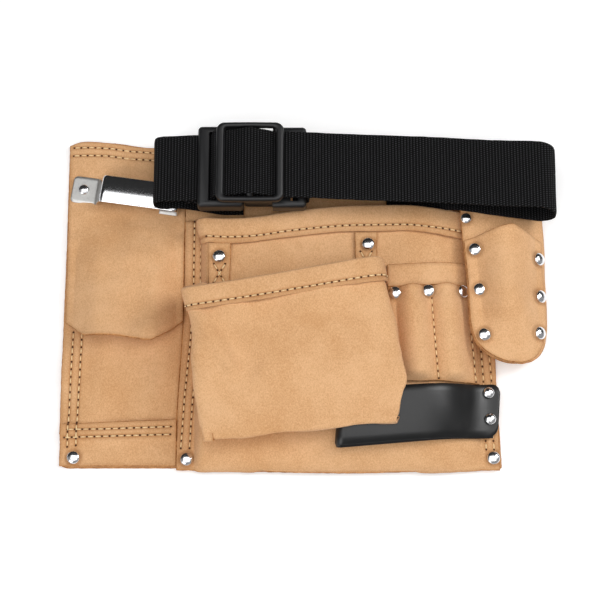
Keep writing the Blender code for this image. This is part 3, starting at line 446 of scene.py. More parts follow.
@dataclass(frozen=True)
class Webbing:
    """Black woven webbing, ribs across it and picks in each rib."""

    name: str = "black_webbing"
    tone: tuple[float, float, float] = linear(4, 4, 4)
    # grey of the painted highlight on the weave's crests
    thread: tuple[float, float, float] = linear(74, 74, 77)
    rib: float = 0.0022
    pick: float = 0.0016

    def material(self) -> bpy.types.Material:
        """The weave, from the strap's own map in metres, with a painted highlight on the crests of its ribs
        and picks.
        """
        shader = Shader(self.name, 0.82, specular=0.12)
        here = shader.node("ShaderNodeTexCoord", {}, {}).outputs["UV"]
        parts = shader.node("ShaderNodeSeparateXYZ", {}, {"Vector": here}).outputs
        along, across = Value(shader, parts[0]), Value(shader, parts[1])

        def wave(place: Value, pitch: float) -> Value:
            """A wave from 0 to 1 of this pitch."""
            turn = place * (math.tau / pitch)
            return shader.value("ShaderNodeMath", {"operation": "SINE"}, {0: turn}) * 0.5 + 0.5

        ribs = wave(along, self.rib)
        picks = wave(across + along * (self.pick / self.rib / 2.0), self.pick)
        # painted highlight: the crests of the ribs and picks are mixed towards a lighter grey, varied by
        # noise
        bright = (ribs ** 1.5) * (picks ** 2.0)
        lint = shader.noise(420.0, 3.0)
        colour = shader.mix(bright * (0.35 + 0.75 * lint), self.tone, self.thread)
        height = ribs * 0.6 + picks * ribs * 0.7 + lint * 0.2
        return shader.finish(colour, height, 0.7, 0.00030, roughness=0.85 - bright * 0.2)


@dataclass(frozen=True)
class Plastic:
    """Moulded dark plastic with a fine sparked grain."""

    name: str = "moulded_plastic"
    tone: tuple[float, float, float] = linear(15, 15, 17)
    pale: tuple[float, float, float] = linear(24, 24, 26)

    def material(self) -> bpy.types.Material:
        """The moulded grain."""
        shader = Shader(self.name, 0.42, specular=0.5)
        grain = shader.noise(1600.0, 3.0)
        clouds = shader.noise(70.0, 2.0)
        colour = shader.mix(clouds.above(0.35, 0.7) * 0.5, self.tone, self.pale)
        return shader.finish(colour, grain, 0.22, 0.00012, roughness=0.36 + grain * 0.16)


@dataclass(frozen=True)
class Metal:
    """Plated metal, polished or drawn."""

    name: str
    tone: tuple[float, float, float]
    roughness: float
    drawn: float
    worn: tuple[float, float, float] = linear(150, 150, 152)

    def material(self) -> bpy.types.Material:
        """The plating, with drawn lines and fine wear."""
        shader = Shader(self.name, self.roughness, 1.0)
        lines = shader.noise(90.0, 4.0, shader.place((1.0, 28.0, 6.0)))
        wear = shader.noise(500.0, 3.0)
        colour = shader.mix(wear.above(0.45, 0.8) * 0.3, self.tone, self.worn)
        return shader.finish(colour, lines * 0.8 + wear * 0.4, self.drawn, 0.00006,
                             roughness=self.roughness + lines * self.roughness * 0.5)


@dataclass(frozen=True)
class Thread:
    """Twisted sewing thread, or the painted shade of a needle's hole."""

    name: str
    tone: tuple[float, float, float]
    dark: tuple[float, float, float]

    def material(self) -> bpy.types.Material:
        """Fibres of the thread."""
        shader = Shader(self.name, 0.8, sheen=0.1, specular=0.25)
        fibres = shader.noise(2600.0, 2.0)
        colour = shader.mix(fibres.above(0.3, 0.7), self.dark, self.tone)
        return shader.finish(colour, fibres, 0.5, 0.00015)


@dataclass(frozen=True)
class Paper:
    """The seamless white floor."""

    name: str = "white_floor"
    glow: float = 0.22

    def material(self) -> bpy.types.Material:
        """Matt white with a faint tooth."""
        shader = Shader(self.name, 0.9, specular=0.1)
        tooth = shader.noise(300.0, 2.0)
        white = (1.0, 1.0, 1.0, 1.0)
        feed(shader.tree, shader.main, {"Emission Color": white, "Emission Strength": self.glow})
        return shader.finish(shader.mix(tooth, (0.93, 0.93, 0.93), (0.96, 0.96, 0.96)), tooth, 0.05, 0.0001)


class Slot(Enum):
    """The record's material slots."""

    SUEDE = "suede"
    BLACK_LEATHER = "black_leather"
    WEBBING = "webbing"
    PLASTIC = "plastic"
    STEEL = "bracket_steel"
    NICKEL = "nickel"


class Palette:
    """Every material, made once."""

    def __init__(self) -> None:
        """Makes the materials."""
        self.suede = Suede().material()
        self.edge = CutEdge().material()
        self.hide = SmoothHide().material()
        self.webbing = Webbing().material()
        self.plastic = Plastic().material()
        self.nickel = Metal("polished_nickel", linear(236, 236, 238), 0.15, 0.001).material()
        self.satin = Metal("satin_steel", linear(212, 211, 208), 0.40, 0.05).material()
        self.steel = Metal("drawn_steel", linear(224, 224, 226), 0.09, 0.012).material()
        self.thread = Thread("cream_thread", linear(250, 226, 180), linear(230, 192, 136)).material()
        # painted shade: the needle holes are dark discs in these browns
        self.hole = Thread("needle_hole", linear(98, 58, 30), linear(62, 36, 20)).material()
        self.floor = Paper().material()


# Meshes
def linked(name: str, data: bpy.types.ID) -> bpy.types.Object:
    """An object of this data, linked to the scene."""
    thing = bpy.data.objects.new(name, data)
    bpy.context.scene.collection.objects.link(thing)
    return thing


def object_of(builder: bmesh.types.BMesh, name: str, smooth: bool = False) -> bpy.types.Object:
    """The object of a finished builder, which is freed."""
    mesh = bpy.data.meshes.new(name)
    builder.to_mesh(mesh)
    builder.free()
    if smooth:
        mesh.shade_smooth()
    return linked(name, mesh)


def mesh_of(name: str, points: Array, faces: Sequence[Sequence[int]], materials: Sequence[bpy.types.Material],
            which: Sequence[int] | None = None, numbers: dict[str, Array] | None = None) -> bpy.types.Object:
    """Makes an object of points and faces.

    Args:
        name: The object's name.
        points: Points, one row each.
        faces: Corners of each face.
        materials: Its materials.
        which: Material of each face.
        numbers: Numbers stored on the points.

    Returns:
        The object, linked to the scene, with smooth faces.
    """
    mesh = bpy.data.meshes.new(name)
    corners = faces.tolist() if isinstance(faces, np.ndarray) else faces
    mesh.from_pydata(np.asarray(points, float).tolist(), [], corners)
    for material in materials:
        mesh.materials.append(material)
    if which is not None:
        mesh.polygons.foreach_set("material_index", np.asarray(which, np.int32))
    for key, amounts in (numbers or {}).items():
        mesh.attributes.new(key, "FLOAT", "POINT").data.foreach_set("value", np.asarray(amounts, np.float32))
    mesh.shade_smooth()
    mesh.update()
    return linked(name, mesh)


def hand_over(piece: bpy.types.Object, slot: Slot, *nodes: str) -> None:
    """Puts a finished piece on the body and hides the solids it stands for."""
    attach(piece, BODY)
    if nodes:
        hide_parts(*nodes)
    LOG.info("%s: %d faces for %s", piece.name, len(piece.data.polygons), ", ".join(nodes) or "detail")


def sewn(palette: Palette, sheets: dict[str, "Hide | Hem"]) -> list["Hide | Hem"]:
    """Makes each suede sheet for the node it stands for.

    Args:
        palette: The materials.
        sheets: The sheets by the names of their nodes.

    Returns:
        The sheets, whose seams are sewn later.
    """
    for node, sheet in sheets.items():
        hand_over(sheet.build(palette), Slot.SUEDE, node)
    return list(sheets.values())


def settled(piece: bpy.types.Object) -> None:
    """Makes the piece's modifiers part of its mesh and removes them."""
    graph = bpy.context.evaluated_depsgraph_get()
    mesh = bpy.data.meshes.new_from_object(piece.evaluated_get(graph))
    mesh.name = piece.name
    piece.modifiers.clear()
    piece.data = mesh


@dataclass(frozen=True)
class Dent:
    """Where a rivet's cap presses into a sheet."""

    x: float
    y: float
    radius: float = 0.0048
    depth: float = 0.0006


@dataclass(frozen=True)
class Fold:
    """A soft ridge, or with a negative height a valley, along a line in the plan."""

    line: tuple[tuple[float, float], ...]
    width: float
    height: float


@dataclass
class Hide:
    """A leather sheet with its back face on place(u, v)."""

    name: str
    place: Place
    across: Array
    along: Array
    thickness: float = LEATHER
    ripple: Ripple = Ripple(1)
    rows: tuple[Table, ...] = ()
    dents: tuple[Dent, ...] = ()
    folds: tuple[Fold, ...] = ()
    groove_width: float = 0.0013
    groove_depth: float = 0.00045
    rim_steps: int = 4

    def shape(self) -> None:
        """Works out the front and back grids and what is stored on them."""
        u, v = np.meshgrid(self.across, self.along)
        back = self.place(u, v)
        normal = unit(np.cross(np.gradient(back, axis=1), np.gradient(back, axis=0)))
        lift = self.ripple(back)
        for fold in self.folds:
            lift = lift + fold.height * np.exp(-(from_segments(back, fold.line) / fold.width) ** 2)
        # groove marks the stitch rows: it presses them in, and is stored so that the nap is painted with
        # shade along them
        self.groove = np.zeros(u.shape)
        for row in self.rows:
            near = np.exp(-(from_segments(back, row) / self.groove_width) ** 2)
            self.groove = np.maximum(self.groove, near)
        pressed = self.groove * self.groove_depth
        for dent in self.dents:
            away = np.hypot(back[..., 0] - dent.x, back[..., 1] - dent.y) / (dent.radius * 1.25)
            pressed = pressed + dent.depth * np.exp(-(away ** 4))
            # a ring of painted shade just outside each rivet cap, stored with the grooves; it does not press
            # the sheet
            self.groove = np.maximum(self.groove, 0.7 * np.exp(-(((away - 0.9) / 0.22) ** 2)))
        self.normal = normal
        self.back = back + normal * lift[..., None]
        self.front = back + normal * (self.thickness + lift - pressed)[..., None]

    def border(self) -> Array:
        """Grid indices round the sheet, anticlockwise seen from its front."""
        rows, columns = self.back.shape[:2]
        grid = np.arange(rows * columns).reshape(rows, columns)
        return np.concatenate([grid[0, :-1], grid[:-1, -1], grid[-1, :0:-1], grid[:0:-1, 0]])

    def build(self, palette: Palette) -> bpy.types.Object:
        """Makes the closed sheet with rounded, fibrous rims.

        Args:
            palette: The materials.

        Returns:
            The object.
        """
        self.shape()
        rows, columns = self.back.shape[:2]
        count = rows * columns
        loop = self.border()
        back, front, normal = (grid.reshape(-1, 3) for grid in (self.back, self.front, self.normal))
        way = unit(np.roll(back[loop], -1, axis=0) - np.roll(back[loop], 1, axis=0))
        outward = unit(np.cross(way, normal[loop]))
        fray = 1.0 + 0.3 * Ripple(7, ((0.0060, 0.35), (0.0022, 0.25)))(back[loop])[:, None]
        rings = []
        for step in range(1, self.rim_steps):
            turn = math.pi * step / self.rim_steps
            middle = lerp(back[loop], front[loop], (1.0 - math.cos(turn)) / 2.0)
            rings.append(middle + outward * (math.sin(turn) * self.thickness * 0.30) * fray)
        grid = np.arange(count).reshape(rows, columns)
        corners = [grid[:-1, :-1], grid[:-1, 1:], grid[1:, 1:], grid[1:, :-1]]
        quads = np.stack(corners, axis=-1).reshape(-1, 4)
        added = [2 * count + index * len(loop) + np.arange(len(loop)) for index in range(len(rings))]
        levels = [loop, *added, loop + count]
        rims = [np.stack([low, np.roll(low, -1), np.roll(high, -1), high], axis=-1)
                for low, high in zip(levels, levels[1:])]
        faces = np.concatenate([quads[:, ::-1], quads + count, *rims])
        which = np.zeros(len(faces), np.int32)
        which[2 * len(quads):] = 1
        edge = from_border(self.front)
        spare = np.zeros(len(loop) * len(rings))
        # edge darkens the nap towards the cut edges; groove carries the painted shade of the stitch rows and
        # rivet rings
        numbers = {"edge": np.concatenate([edge, edge, spare]),
                   "groove": np.concatenate([np.zeros(count), self.groove.reshape(-1), spare])}
        return mesh_of(self.name, np.concatenate([back, front, *rings]), faces, (palette.suede, palette.edge),
                       which, numbers)

    def find(self, x: Array, y: Array) -> tuple[Array, Array]:
        """The (u, v) at which the sheet passes over places of the plan."""
        step = 0.001
        u, v = np.full_like(x, 0.5), np.full_like(x, 0.5)
        for _ in range(60):
            here = self.place(u, v)
            side = (self.place(u + step, v) - here) / step
            up = (self.place(u, v + step) - here) / step
            left_x, left_y = x - here[..., 0], y - here[..., 1]
            size = side[..., 0] * up[..., 1] - side[..., 1] * up[..., 0]
            size = np.where(np.abs(size) < 1e-9, 1e-9, size)
            u = clamp(u + 0.5 * (left_x * up[..., 1] - left_y * up[..., 0]) / size)
            v = clamp(v + 0.5 * (left_y * side[..., 0] - left_x * side[..., 1]) / size)
        return u, v

    def sample(self, u: Array, v: Array) -> tuple[Array, Array]:
        """Front points and normals of the built grid at (u, v)."""
        column = np.clip(np.searchsorted(self.across, u) - 1, 0, len(self.across) - 2)
        row = np.clip(np.searchsorted(self.along, v) - 1, 0, len(self.along) - 2)
        s = clamp((u - self.across[column]) / (self.across[column + 1] - self.across[column]))[..., None]
        t = clamp((v - self.along[row]) / (self.along[row + 1] - self.along[row]))[..., None]
        found = []
        for grid in (self.front, self.normal):
            low = lerp(grid[row, column], grid[row, column + 1], s)
            high = lerp(grid[row + 1, column], grid[row + 1, column + 1], s)
            found.append(lerp(low, high, t))
        return found[0], unit(found[1])

    def seams(self) -> list[tuple[Array, Array]]:
        """The sheet's stitch rows as points on its front with their normals."""
        found = []
        for row in self.rows:
            corners = np.array(row, float)[:, :2]
            run = run_of(corners)
            places = np.linspace(0.0, run[-1], max(3, int(run[-1] / 0.0013)))
            x, y = (np.interp(places, run, corners[:, axis]) for axis in (0, 1))
            found.append(self.sample(*self.find(x, y)))
        return found


def from_border(grid: Array) -> Array:
    """Rough distance of a grid's points from its border, flattened."""
    side = np.linalg.norm(np.diff(grid, axis=1), axis=-1)
    up = np.linalg.norm(np.diff(grid, axis=0), axis=-1)
    left = np.concatenate([np.zeros((grid.shape[0], 1)), np.cumsum(side, axis=1)], axis=1)
    low = np.concatenate([np.zeros((1, grid.shape[1])), np.cumsum(up, axis=0)], axis=0)
    near = np.minimum(np.minimum(left, left[:, -1:] - left), np.minimum(low, low[-1:] - low))
    return near.reshape(-1)


def tube_of(name: str, rings: Array, materials: Sequence[bpy.types.Material],
            numbers: dict[str, Array] | None = None, chart: Array | None = None) -> bpy.types.Object:
    """A closed solid through rings of points.

    Args:
        name: The object's name.
        rings: Points, by ring and place in the ring.
        materials: Its materials.
        numbers: Numbers stored on the points.
        chart: Map coordinates of the points in metres.

    Returns:
        The object, its ends capped.
    """
    count, size = rings.shape[:2]
    grid = np.arange(count * size).reshape(count, size)
    turned = np.roll(grid, -1, axis=1)
    sides = np.stack([grid[:-1], turned[:-1], turned[1:], grid[1:]], axis=-1).reshape(-1, 4)
    faces: list[list[int]] = sides.tolist() + [grid[0, ::-1].tolist(), grid[-1].tolist()]
    piece = mesh_of(name, rings.reshape(-1, 3), faces, materials, None, numbers)
    builder = bmesh.new()
    builder.from_mesh(piece.data)
    bmesh.ops.triangulate(builder, faces=[face for face in builder.faces if len(face.verts) > 4])
    bmesh.ops.recalc_face_normals(builder, faces=builder.faces)
    if chart is not None:
        layer = builder.loops.layers.uv.new("strap")
        places = chart.reshape(-1, 2)
        for face in builder.faces:
            for corner in face.loops:
                corner[layer].uv = places[corner.vert.index]
    builder.to_mesh(piece.data)
    builder.free()
    return piece


def rounded_path(corners: Sequence[tuple[tuple[float, float, float], float]], per_turn: int) -> list[Vector]:
    """Corners of (point, radius) joined by lines and arcs."""
    path = [Vector(corners[0][0])]
    for before, (corner, radius), after in zip(corners, corners[1:], corners[2:]):
        corner = Vector(corner)
        back = (Vector(before[0]) - corner).normalized()
        ahead = (Vector(after[0]) - corner).normalized()
        half = back.angle(ahead) / 2.0
        reach = radius / math.tan(half)
        middle = corner + (back + ahead).normalized() * (radius / math.sin(half))
        start, end = corner + back * reach - middle, corner + ahead * reach - middle
        whole = start.angle(end)
        count = max(2, round(per_turn * whole / math.pi))
        for index in range(count + 1):
            share = index / count
            path.append(middle + (start * math.sin((1.0 - share) * whole)
                                  + end * math.sin(share * whole)) / math.sin(whole))
    path.append(Vector(corners[-1][0]))
    return path


def evenly(path: Array, pitch: float) -> tuple[Array, Array]:
    """A path's points at an even pitch, and how far along each is."""
    run = run_of(path)
    places = np.linspace(0.0, run[-1], int(run[-1] / pitch) + 1)
    return taken(path, run, places), places


def softened(path: Array, times: int) -> Array:
    """A path with its corners eased by averaging neighbours, its ends held."""
    for _ in range(times):
        path = np.concatenate([path[:1], (path[:-2] + 2.0 * path[1:-1] + path[2:]) / 4.0, path[-1:]])
    return path


# Repeats
class Repeater:
    """Geometry Nodes that set a small shape at points, or at a pitch along rows with a little unevenness."""

    smallest: tuple[float, float, float] = (0.90, 0.88, 0.92)
    largest: tuple[float, float, float] = (1.06, 1.12, 1.10)

    def __init__(self, name: str, rows: bool) -> None:
        """Builds the tree.

        Args:
            name: The tree's name.
            rows: Whether the input is rows to be walked at a pitch, or single points.
        """
        self.tree = bpy.data.node_groups.new(name, "GeometryNodeTree")
        face = self.tree.interface
        kinds = {"Places": "Geometry", "Shape": "Object", "Finish": "Material", "Pitch": "Float",
                 "Seed": "Int"}
        self.keys = {label: face.new_socket(label, in_out="INPUT", socket_type="NodeSocket" + kind).identifier
                     for label, kind in kinds.items()}
        face.new_socket("Mesh", in_out="OUTPUT", socket_type="NodeSocketGeometry")
        given = self._add("NodeGroupInput", {}, {})
        places = given["Places"]
        if rows:
            curve = self._add("GeometryNodeMeshToCurve", {}, {"Mesh": places})[0]
            walk = {"Curve": curve, "Length": given["Pitch"]}
            places = self._add("GeometryNodeResampleCurve", {"mode": "LENGTH"}, walk)[0]
            way = self._add("GeometryNodeInputTangent", {}, {})[0]
            sizes = {"Min": self.smallest, "Max": self.largest}
        else:
            way = self._named("side")
            sizes = {"Min": (1.0, 1.0, 1.0), "Max": (1.0, 1.0, 1.0)}
        axes = {"primary_axis": "Z", "secondary_axis": "X"}
        turn = self._add("FunctionNodeAxesToRotation", axes, {0: self._named("up"), 1: way})[0]
        shape = self._add("GeometryNodeObjectInfo", {}, {"Object": given["Shape"]})["Geometry"]
        uneven = self._add("FunctionNodeRandomValue", {"data_type": "FLOAT_VECTOR"},
                           {**sizes, "Seed": given["Seed"]})[0]
        put = self._add("GeometryNodeInstanceOnPoints", {},
                        {"Points": places, "Instance": shape, "Rotation": turn, "Scale": uneven})[0]
        real = self._add("GeometryNodeRealizeInstances", {}, {0: put})[0]
        dressed = self._add("GeometryNodeSetMaterial", {}, {"Geometry": real, "Material": given["Finish"]})[0]
        self._add("NodeGroupOutput", {}, {0: dressed})

    def _add(self, kind: str, settings: dict[str, object],
             inputs: dict[object, object]) -> bpy.types.bpy_prop_collection:
        """Adds a node and gives its outputs."""
        return add_node(self.tree, kind, settings, inputs).outputs

    def _named(self, name: str) -> bpy.types.NodeSocket:
        """A vector stored on the places."""
        found = self._add("GeometryNodeInputNamedAttribute", {"data_type": "FLOAT_VECTOR"}, {"Name": name})
        return next(socket for socket in found if socket.enabled and socket.name == "Attribute")

    def run(self, name: str, rows: Sequence[tuple[Array, Array]], shape: bpy.types.Object,
            finish: bpy.types.Material, pitch: float = 1.0, seed: int = 0,
            sides: Sequence[Array] | None = None) -> bpy.types.Object:
        """Makes the plain mesh of the repeats.

        Args:
            name: The piece's name.
            rows: Points and upward normals of each row, or of one set of points.
            shape: The small shape.
            finish: Its material.
            pitch: Distance between repeats along a row.
            seed: Seed of the small unevenness.
            sides: Sideways directions of single points.

        Returns:
            The piece.
        """
        points = np.concatenate([row[0] for row in rows])
        ups = np.concatenate([row[1] for row in rows])
        edges, start = [], 0
        for row in rows:
            if sides is None:
                edges += [(start + index, start + index + 1) for index in range(len(row[0]) - 1)]
            start += len(row[0])
        mesh = bpy.data.meshes.new(name)
        mesh.from_pydata(points.tolist(), edges, [])
        stored = {"up": ups}
        if sides is not None:
            stored["side"] = np.concatenate(sides)
        for key, vectors in stored.items():
            layer = mesh.attributes.new(key, "FLOAT_VECTOR", "POINT")
            layer.data.foreach_set("vector", vectors.astype(np.float32).ravel())
        piece = linked(name, mesh)
        modifier = piece.modifiers.new("Repeats", "NODES")
        modifier.node_group = self.tree
        for label, item in (("Shape", shape), ("Finish", finish), ("Pitch", pitch), ("Seed", seed)):
            modifier[self.keys[label]] = item
        settled(piece)
        piece.data.shade_smooth()
        return piece


def lathe(name: str, profile: Table, sides: int) -> bpy.types.Object:
    """A small shape turned about +Z from (radius, height) pairs, closed at both poles."""
    builder = bmesh.new()
    rows = []
    for radius, height in profile:
        turns = [math.tau * side / sides for side in range(sides)] if radius else [0.0]
        ring = [(radius * math.cos(turn), radius * math.sin(turn), height) for turn in turns]
        rows.append([builder.verts.new(point) for point in ring])
    for lower, upper in zip(rows, rows[1:]):
        for side in range(sides):
            after = (side + 1) % sides
            corners = [lower[side % len(lower)], lower[after % len(lower)],
                       upper[after % len(upper)], upper[side % len(upper)]]
            builder.faces.new(list(dict.fromkeys(corners)))
    bmesh.ops.recalc_face_normals(builder, faces=builder.faces)
    return object_of(builder, name, True)


# Back panel
@dataclass(frozen=True)
class BackPanel:
    """The panel that carries everything."""

    left: float = -0.1750
    width: float = 0.3150
    bottom: float = -0.1205
    height: float = 0.2460
    taper: float = 0.0080
    corner: float = 0.0050
    top_edge: tuple[tuple[float, float], ...] = (
        (0.00, -0.008), (0.03, 0.003), (0.10, 0.000), (0.20, -0.016),
        (0.30, -0.012), (0.42, 0.005), (0.78, 0.005), (1.00, -0.030),
    )

    @property
    def right(self) -> float:
        """The panel's lower right corner."""
        return self.left + self.width

    @property
    def top(self) -> float:
        """The panel's usual top."""
        return self.bottom + self.height

    def top_y(self, share: Array) -> Array:
        """The top edge at a share of the width."""
        return self.top + self.height * read(self.top_edge, share)

    def place(self, u: Array, v: Array) -> Array:
        """The panel's back face."""
        y = lerp(self.bottom, self.top_y(u), v)
        above = clamp((y - self.bottom) / self.corner)
        rounded = self.corner * (1.0 - np.sqrt(1.0 - (1.0 - above) ** 2))
        low_left = self.left - self.taper * 0.2 * v + rounded
        x = lerp(low_left, self.right - self.taper * v, u)
        return xyz(x, y, np.zeros_like(x))

    def build(self, palette: Palette) -> list[Hide]:
        """Makes the panel."""
        sheet = Hide("panel_leather", self.place, shares(self.width, 0.0030, [(0.004, 0.006, 0.0012)]),
                     shares(self.height, 0.0030, [(0.003, 0.005, 0.0010), (self.height, 0.012, 0.0012)]),
                     PANEL_LEATHER, Ripple(11, ((0.05, 0.00006), (0.015, 0.00003))))
        return sewn(palette, {"back_panel": sheet})


PANEL = BackPanel()


@dataclass(frozen=True)
class LeftPocket:
    """The left pocket under its flap, and the band over its foot."""

    mouth: float = 0.0400
    bulge: float = 0.0060
    slack: float = 0.72
    band_height: float = 0.0320
    band_lap: float = 0.0080
    flat: float = 0.0520
    flap_low: float = -0.0150
    lift: float = 0.0125
    wave: float = 0.0170
    beside: float = 0.0010
    flap_edge: tuple[tuple[float, float], ...] = (
        (0.00, 0.00), (0.09, 0.34), (0.18, 0.70), (0.22, 0.76), (0.45, 0.78),
        (0.60, 0.88), (0.70, 0.99), (0.74, 1.00), (0.79, 0.84), (1.00, -0.05),
    )
    flap_height: tuple[tuple[float, float], ...] = (
        (0.00, 0.10), (0.14, 0.75), (0.35, 1.00), (0.55, 0.85), (0.72, 1.05), (0.90, 0.55), (1.00, 0.20),
    )

    @property
    def band_top(self) -> float:
        """The band's upper edge."""
        return PANEL.bottom + self.band_height

    @property
    def foot(self) -> float:
        """The pocket sheet's lower edge, under the band."""
        return self.band_top - self.band_lap

    def pocket_place(self, u: Array, v: Array) -> Array:
        """The pocket's back face."""
        y = lerp(self.foot, self.mouth, v)
        right = MAIN.left_x(y) - self.beside
        x = lerp(PANEL.left - PANEL.taper * 0.1, right, u)
        middle = ease((x - PANEL.left - 0.014) / 0.018) * ease((right - x) / 0.018)
        bulge = self.slack * self.bulge * middle * ease((y - self.band_top) / 0.030) * (0.55 + 0.45 * v)
        return xyz(x, y, ON_PANEL + bulge)

    def band_place(self, u: Array, v: Array) -> Array:
        """The band's back face, which steps up over the pocket's foot."""
        y = lerp(PANEL.bottom + 0.0010, self.band_top + 0.0035 * (u - 0.5), v)
        x = lerp(PANEL.left, MAIN.left_x(y) - self.beside, u)
        return xyz(x, y, ON_PANEL + (LAYER + GAP) * ease((y - self.foot + 0.0065) / 0.005))

    def flap_place(self, u: Array, v: Array) -> Array:
        """The flap's back face: it hangs from the panel's top and lifts at its wavy lower edge."""
        low_y = self.flap_low - self.wave * read(self.flap_edge, u)
        left = lerp(PANEL.left + 0.0015, PANEL.left - PANEL.taper * 0.2, v)
        x = lerp(left, MAIN.left - self.beside, u)
        high_y = PANEL.top_y((x - left) / PANEL.width) - 0.0008
        y = lerp(low_y, high_y, v)
        hang = clamp((self.flat - y) / (self.flat - low_y))
        raised = LAYER + self.bulge * 1.25
        lift = raised * ease((self.flat + 0.022 - y) / 0.046)
        lift = lift * ease((u + 0.03) / 0.34) * ease((1.03 - u) / 0.30)
        over_seam = LAYER * ease((self.flat + 0.006 - y) / 0.012)
        edge = self.lift * read(self.flap_height, u) * hang ** 2.2
        return xyz(x, y, ON_PANEL + np.maximum(lift, over_seam) + edge * 0.75)

    def build(self, palette: Palette) -> list[Hide]:
        """Makes the pocket, its band and its flap."""
        width = MAIN.left - PANEL.left
        side_rows = (
            ((-0.1689, -0.0215), (-0.1698, -0.0885)), ((-0.1626, -0.0215), (-0.1636, -0.0885)),
        )
        pocket = Hide("left_pocket_leather", self.pocket_place,
                      shares(width, 0.0018, [(0.007, 0.006, 0.0008)]),
                      shares(self.mouth - self.foot, 0.0022), LEATHER,
                      Ripple(12, ((0.045, 0.00070), (0.016, 0.00014))), side_rows)
        band_rows = (
            ((-0.1700, -0.0938), (-0.1425, -0.0934), (-0.0960, -0.0917)),
            ((-0.1722, -0.0990), (-0.0964, -0.0974)),
            ((-0.1698, -0.0885), (-0.1701, -0.1060)), ((-0.1636, -0.0885), (-0.1639, -0.1050)),
        )
        band = Hide("foot_band_leather", self.band_place,
                    shares(width, 0.0018, [(0.006, 0.006, 0.0008)]),
                    shares(self.band_height, 0.0016, [(0.024, 0.007, 0.0008)]), LEATHER,
                    Ripple(13, ((0.030, 0.00008), (0.012, 0.00005))), band_rows,
                    (Dent(*FOOT_RIVETS[0]),))
        flap_rows = (
            ((-0.1735, 0.1213), (-0.1460, 0.1211), (-0.1215, 0.1180), (-0.1110, 0.1166)),
            ((-0.1738, 0.1151), (-0.1475, 0.1151), (-0.1220, 0.1120), (-0.1110, 0.1107)),
        )
        flap = Hide("flap_leather", self.flap_place, shares(width, 0.0013),
                    shares(0.140, 0.0016, [(0.133, 0.007, 0.0007)]), LEATHER,
                    Ripple(14, ((0.050, 0.00060), (0.020, 0.00022), (0.009, 0.00006))), flap_rows, (),
                    (Fold(((-0.170, 0.010), (-0.140, -0.020)), 0.012, 0.0008),
                     Fold(((-0.112, 0.062), (-0.110, 0.046)), 0.012, -0.0016),
                     Fold(((-0.112, 0.026), (-0.108, 0.008)), 0.014, -0.0026),
                     Fold(((-0.100, -0.004), (-0.120, -0.026)), 0.010, 0.0010)))
        return sewn(palette, {"left_pocket": pocket, "left_foot_band": band, "left_flap": flap})


